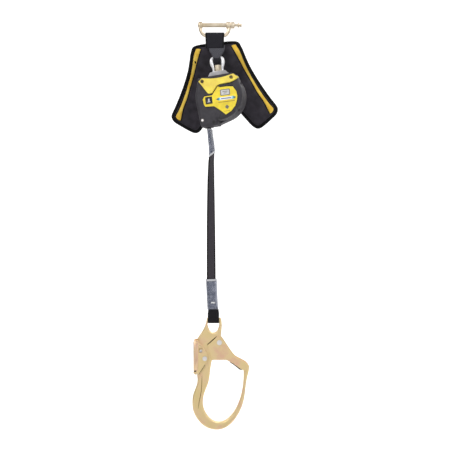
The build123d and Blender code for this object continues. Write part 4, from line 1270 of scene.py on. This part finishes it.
def make_hook_details():
    surface = round_hook()
    for sign, face in ((-1, "front"), (1, "rear")):
        # Painted shadow: a dark strip on each face of the hook along the gate's top edge.
        lay_strip("gate_edge_shadow_" + face, surface, [(-13.6, -53.2), (-3, -44), (7.4, -34.6)], 1.9,
                  "seam_shadow", sign)
        # Painted shade: a brown strip along the spine's groove on each face.
        lay_strip("spine_groove_" + face, surface,
                  [(-24.4, -119), (-24.8, -135), (-26.4, -155), (-30.2, -174), (-32.4, -190)],
                  1.5, "groove", sign)
    # Painted shade: dark strips along the lower edge of the lever's cheeks.
    lever_plates("lever_lip_shadow", [(-17.6, -95.2), (-30.4, -115.2), (-31.2, -114.6), (-18.4, -94.6)],
                 CHEEK_OUTSIDE, "seam_shadow")
    # Painted shade: a short dark stroke on the lever's cheeks below their top edge.
    lever_plates("lever_top_lip_shadow", [(-30.4, -53.6), (-24.2, -57.2), (-23.6, -56.0), (-29.8, -52.2)],
                 CHEEK_OUTSIDE, "seam_shadow")
    # Painted shadow: a dark piece between and just below the gate's cheeks, for the shade inside
    # its fold.
    box_piece("gate_fold_shadow", [(35, -88.2), (44, -92.5), (62, -104), (63, -107.2), (57, -106.6),
                                  (43, -95.6), (36, -91.2)], -6.6, 6.6, "seam_shadow", "gate")
    lever_plates("lever_spine", [(-42.6, -46), (-40.5, -42.8), (-34.0, -43.4), (-32.2, -50),
                                 (-32.4, -104), (-35.6, -110), (-42.4, -108)], 12.3, "pink_zinc")
    box_piece("lever_back", [(-42.6, -46), (-40.8, -43.2), (-40.4, -104), (-42.4, -108)],
              -CHEEK_OUTSIDE, CHEEK_OUTSIDE, "pink_zinc", "lock_lever")
    lever_plates("lever_foot", [(-43.5, -112.6), (-37, -116.8), (-35.2, -114.8), (-41.5, -109.6)],
                 CHEEK_OUTSIDE, "yellow_zinc")
    lever_plates("lever_coil", ring_points(-26.4, -65.6, 3.2), 10.4, "rivet")
    # Painted shade: a dark spot in the middle of the bright ring.
    lever_plates("lever_coil_shade", ring_points(-26.4, -65.6, 1.1), 10.7, "seam_shadow")
    # Painted shadow: a dark plate in the gap between the lever's spine and its foot.
    lever_plates("lever_gap_shadow", [(-41.5, -107.0), (-36.0, -106.4), (-36.4, -109.4), (-41.2, -110)],
                 12.45, "seam_shadow")


def lever_plates(name, outline, outside, material):
    """The same plate on both cheeks of the lever, clear of what swings between them."""
    for face, low, high in (("front", -outside, -CHEEK_INSIDE), ("rear", CHEEK_INSIDE, outside)):
        box_piece(f"{name}_{face}", outline, low, high, material, "lock_lever")


def ring_points(x, z, radius):
    """Points round a circle."""
    return [(x + radius * math.cos(a), z + radius * math.sin(a)) for a in circle(16)]


def box_piece(name, outline, low, high, material, body):
    """A prism between two depths from the hook's middle plane, with eased edges."""
    ease = min(0.7, 0.4 * (high - low))
    inner = inset_outline(outline, ease)
    if abs(area(inner)) > abs(area(outline)):
        inner = inset_outline(outline, -ease)
    rings = []
    for depth, shape in ((low, inner), (low + ease, outline), (high - ease, outline),
                         (high, inner)):
        rings.append([hook_at(x, z, depth) for x, z in shape])
    settle(loft(name, rings), material, body)


def area(outline):
    return sum(a[0] * b[1] - b[0] * a[1]
               for a, b in zip(outline, outline[1:] + outline[:1])) / 2


def make_sleeve_marks():
    """The sleeves' mouths as pale rings of painted highlight, and a plain mark on the insert."""
    for name, z, width, thick, half, slant in (
            ("mouth_upper_top", UPPER_SLEEVE[0] - 0.6, 24.2, 9.0, 0.9, 0.0),
            ("mouth_upper_low", UPPER_SLEEVE[1] + 2.4, 23.0, 8.0, 2.2, SLEEVE_SLANT),
            ("mouth_lower_top", LOWER_SLEEVE[0] - 2.4, 24.6, 8.6, 1.9, 0.0)):
        outer = [sleeve_ring(z + step, width, thick, slant) for step in (half, -half)]
        inner = [sleeve_ring(z + step, width - 1.6, thick - 1.6, slant)
                 for step in (-half, half)]
        # Pale rings of painted highlight on the clear film's mouths.
        piece = loft(name, outer + inner + outer[:1], closed_ends=False)
        settle(piece, "film_rim_highlight", "line")
    z = LOWER_SLEEVE[1] + 14
    middle = line_hang(z) - BACK * 3.9 * MM
    corners = [middle + line_across(z) * (x * MM) - DOWN * (h * MM)
               for x, h in ((-3.5, -1.2), (6.0, -1.2), (6.0, 1.2), (-2.0, 2.2))]
    rings = [corners, [c - BACK * 0.3 * MM for c in corners]]
    settle(loft("insert_mark", rings), "white_print", "line")


# ------------------------------------------------------------------ build
make_camera()
make_floor()
make_world()
make_cards()
make_lights()
dress_nodes()
make_line()
make_sleeve("sleeve_upper", "upper_sleeve", *UPPER_SLEEVE, 22.0, 6.6, 2.0, SLEEVE_SLANT)
make_sleeve("sleeve_lower", "lower_sleeve", *LOWER_SLEEVE, 23.4, 7.2, 0.3, 0.0)
make_sleeve_marks()
make_end_loop()
make_hook_details()
make_straps()
make_link()
make_knob()
make_lock_collar()
make_bail()
make_pad()
make_label()
make_case_details()
make_screw_recess()
for pressing, pressed in (("gate_pressing", "gate"), ("lever_pressing", "lock_lever")):
    dress(soften(pressing, pressed, 0.45, 4, pressed), "yellow_zinc")
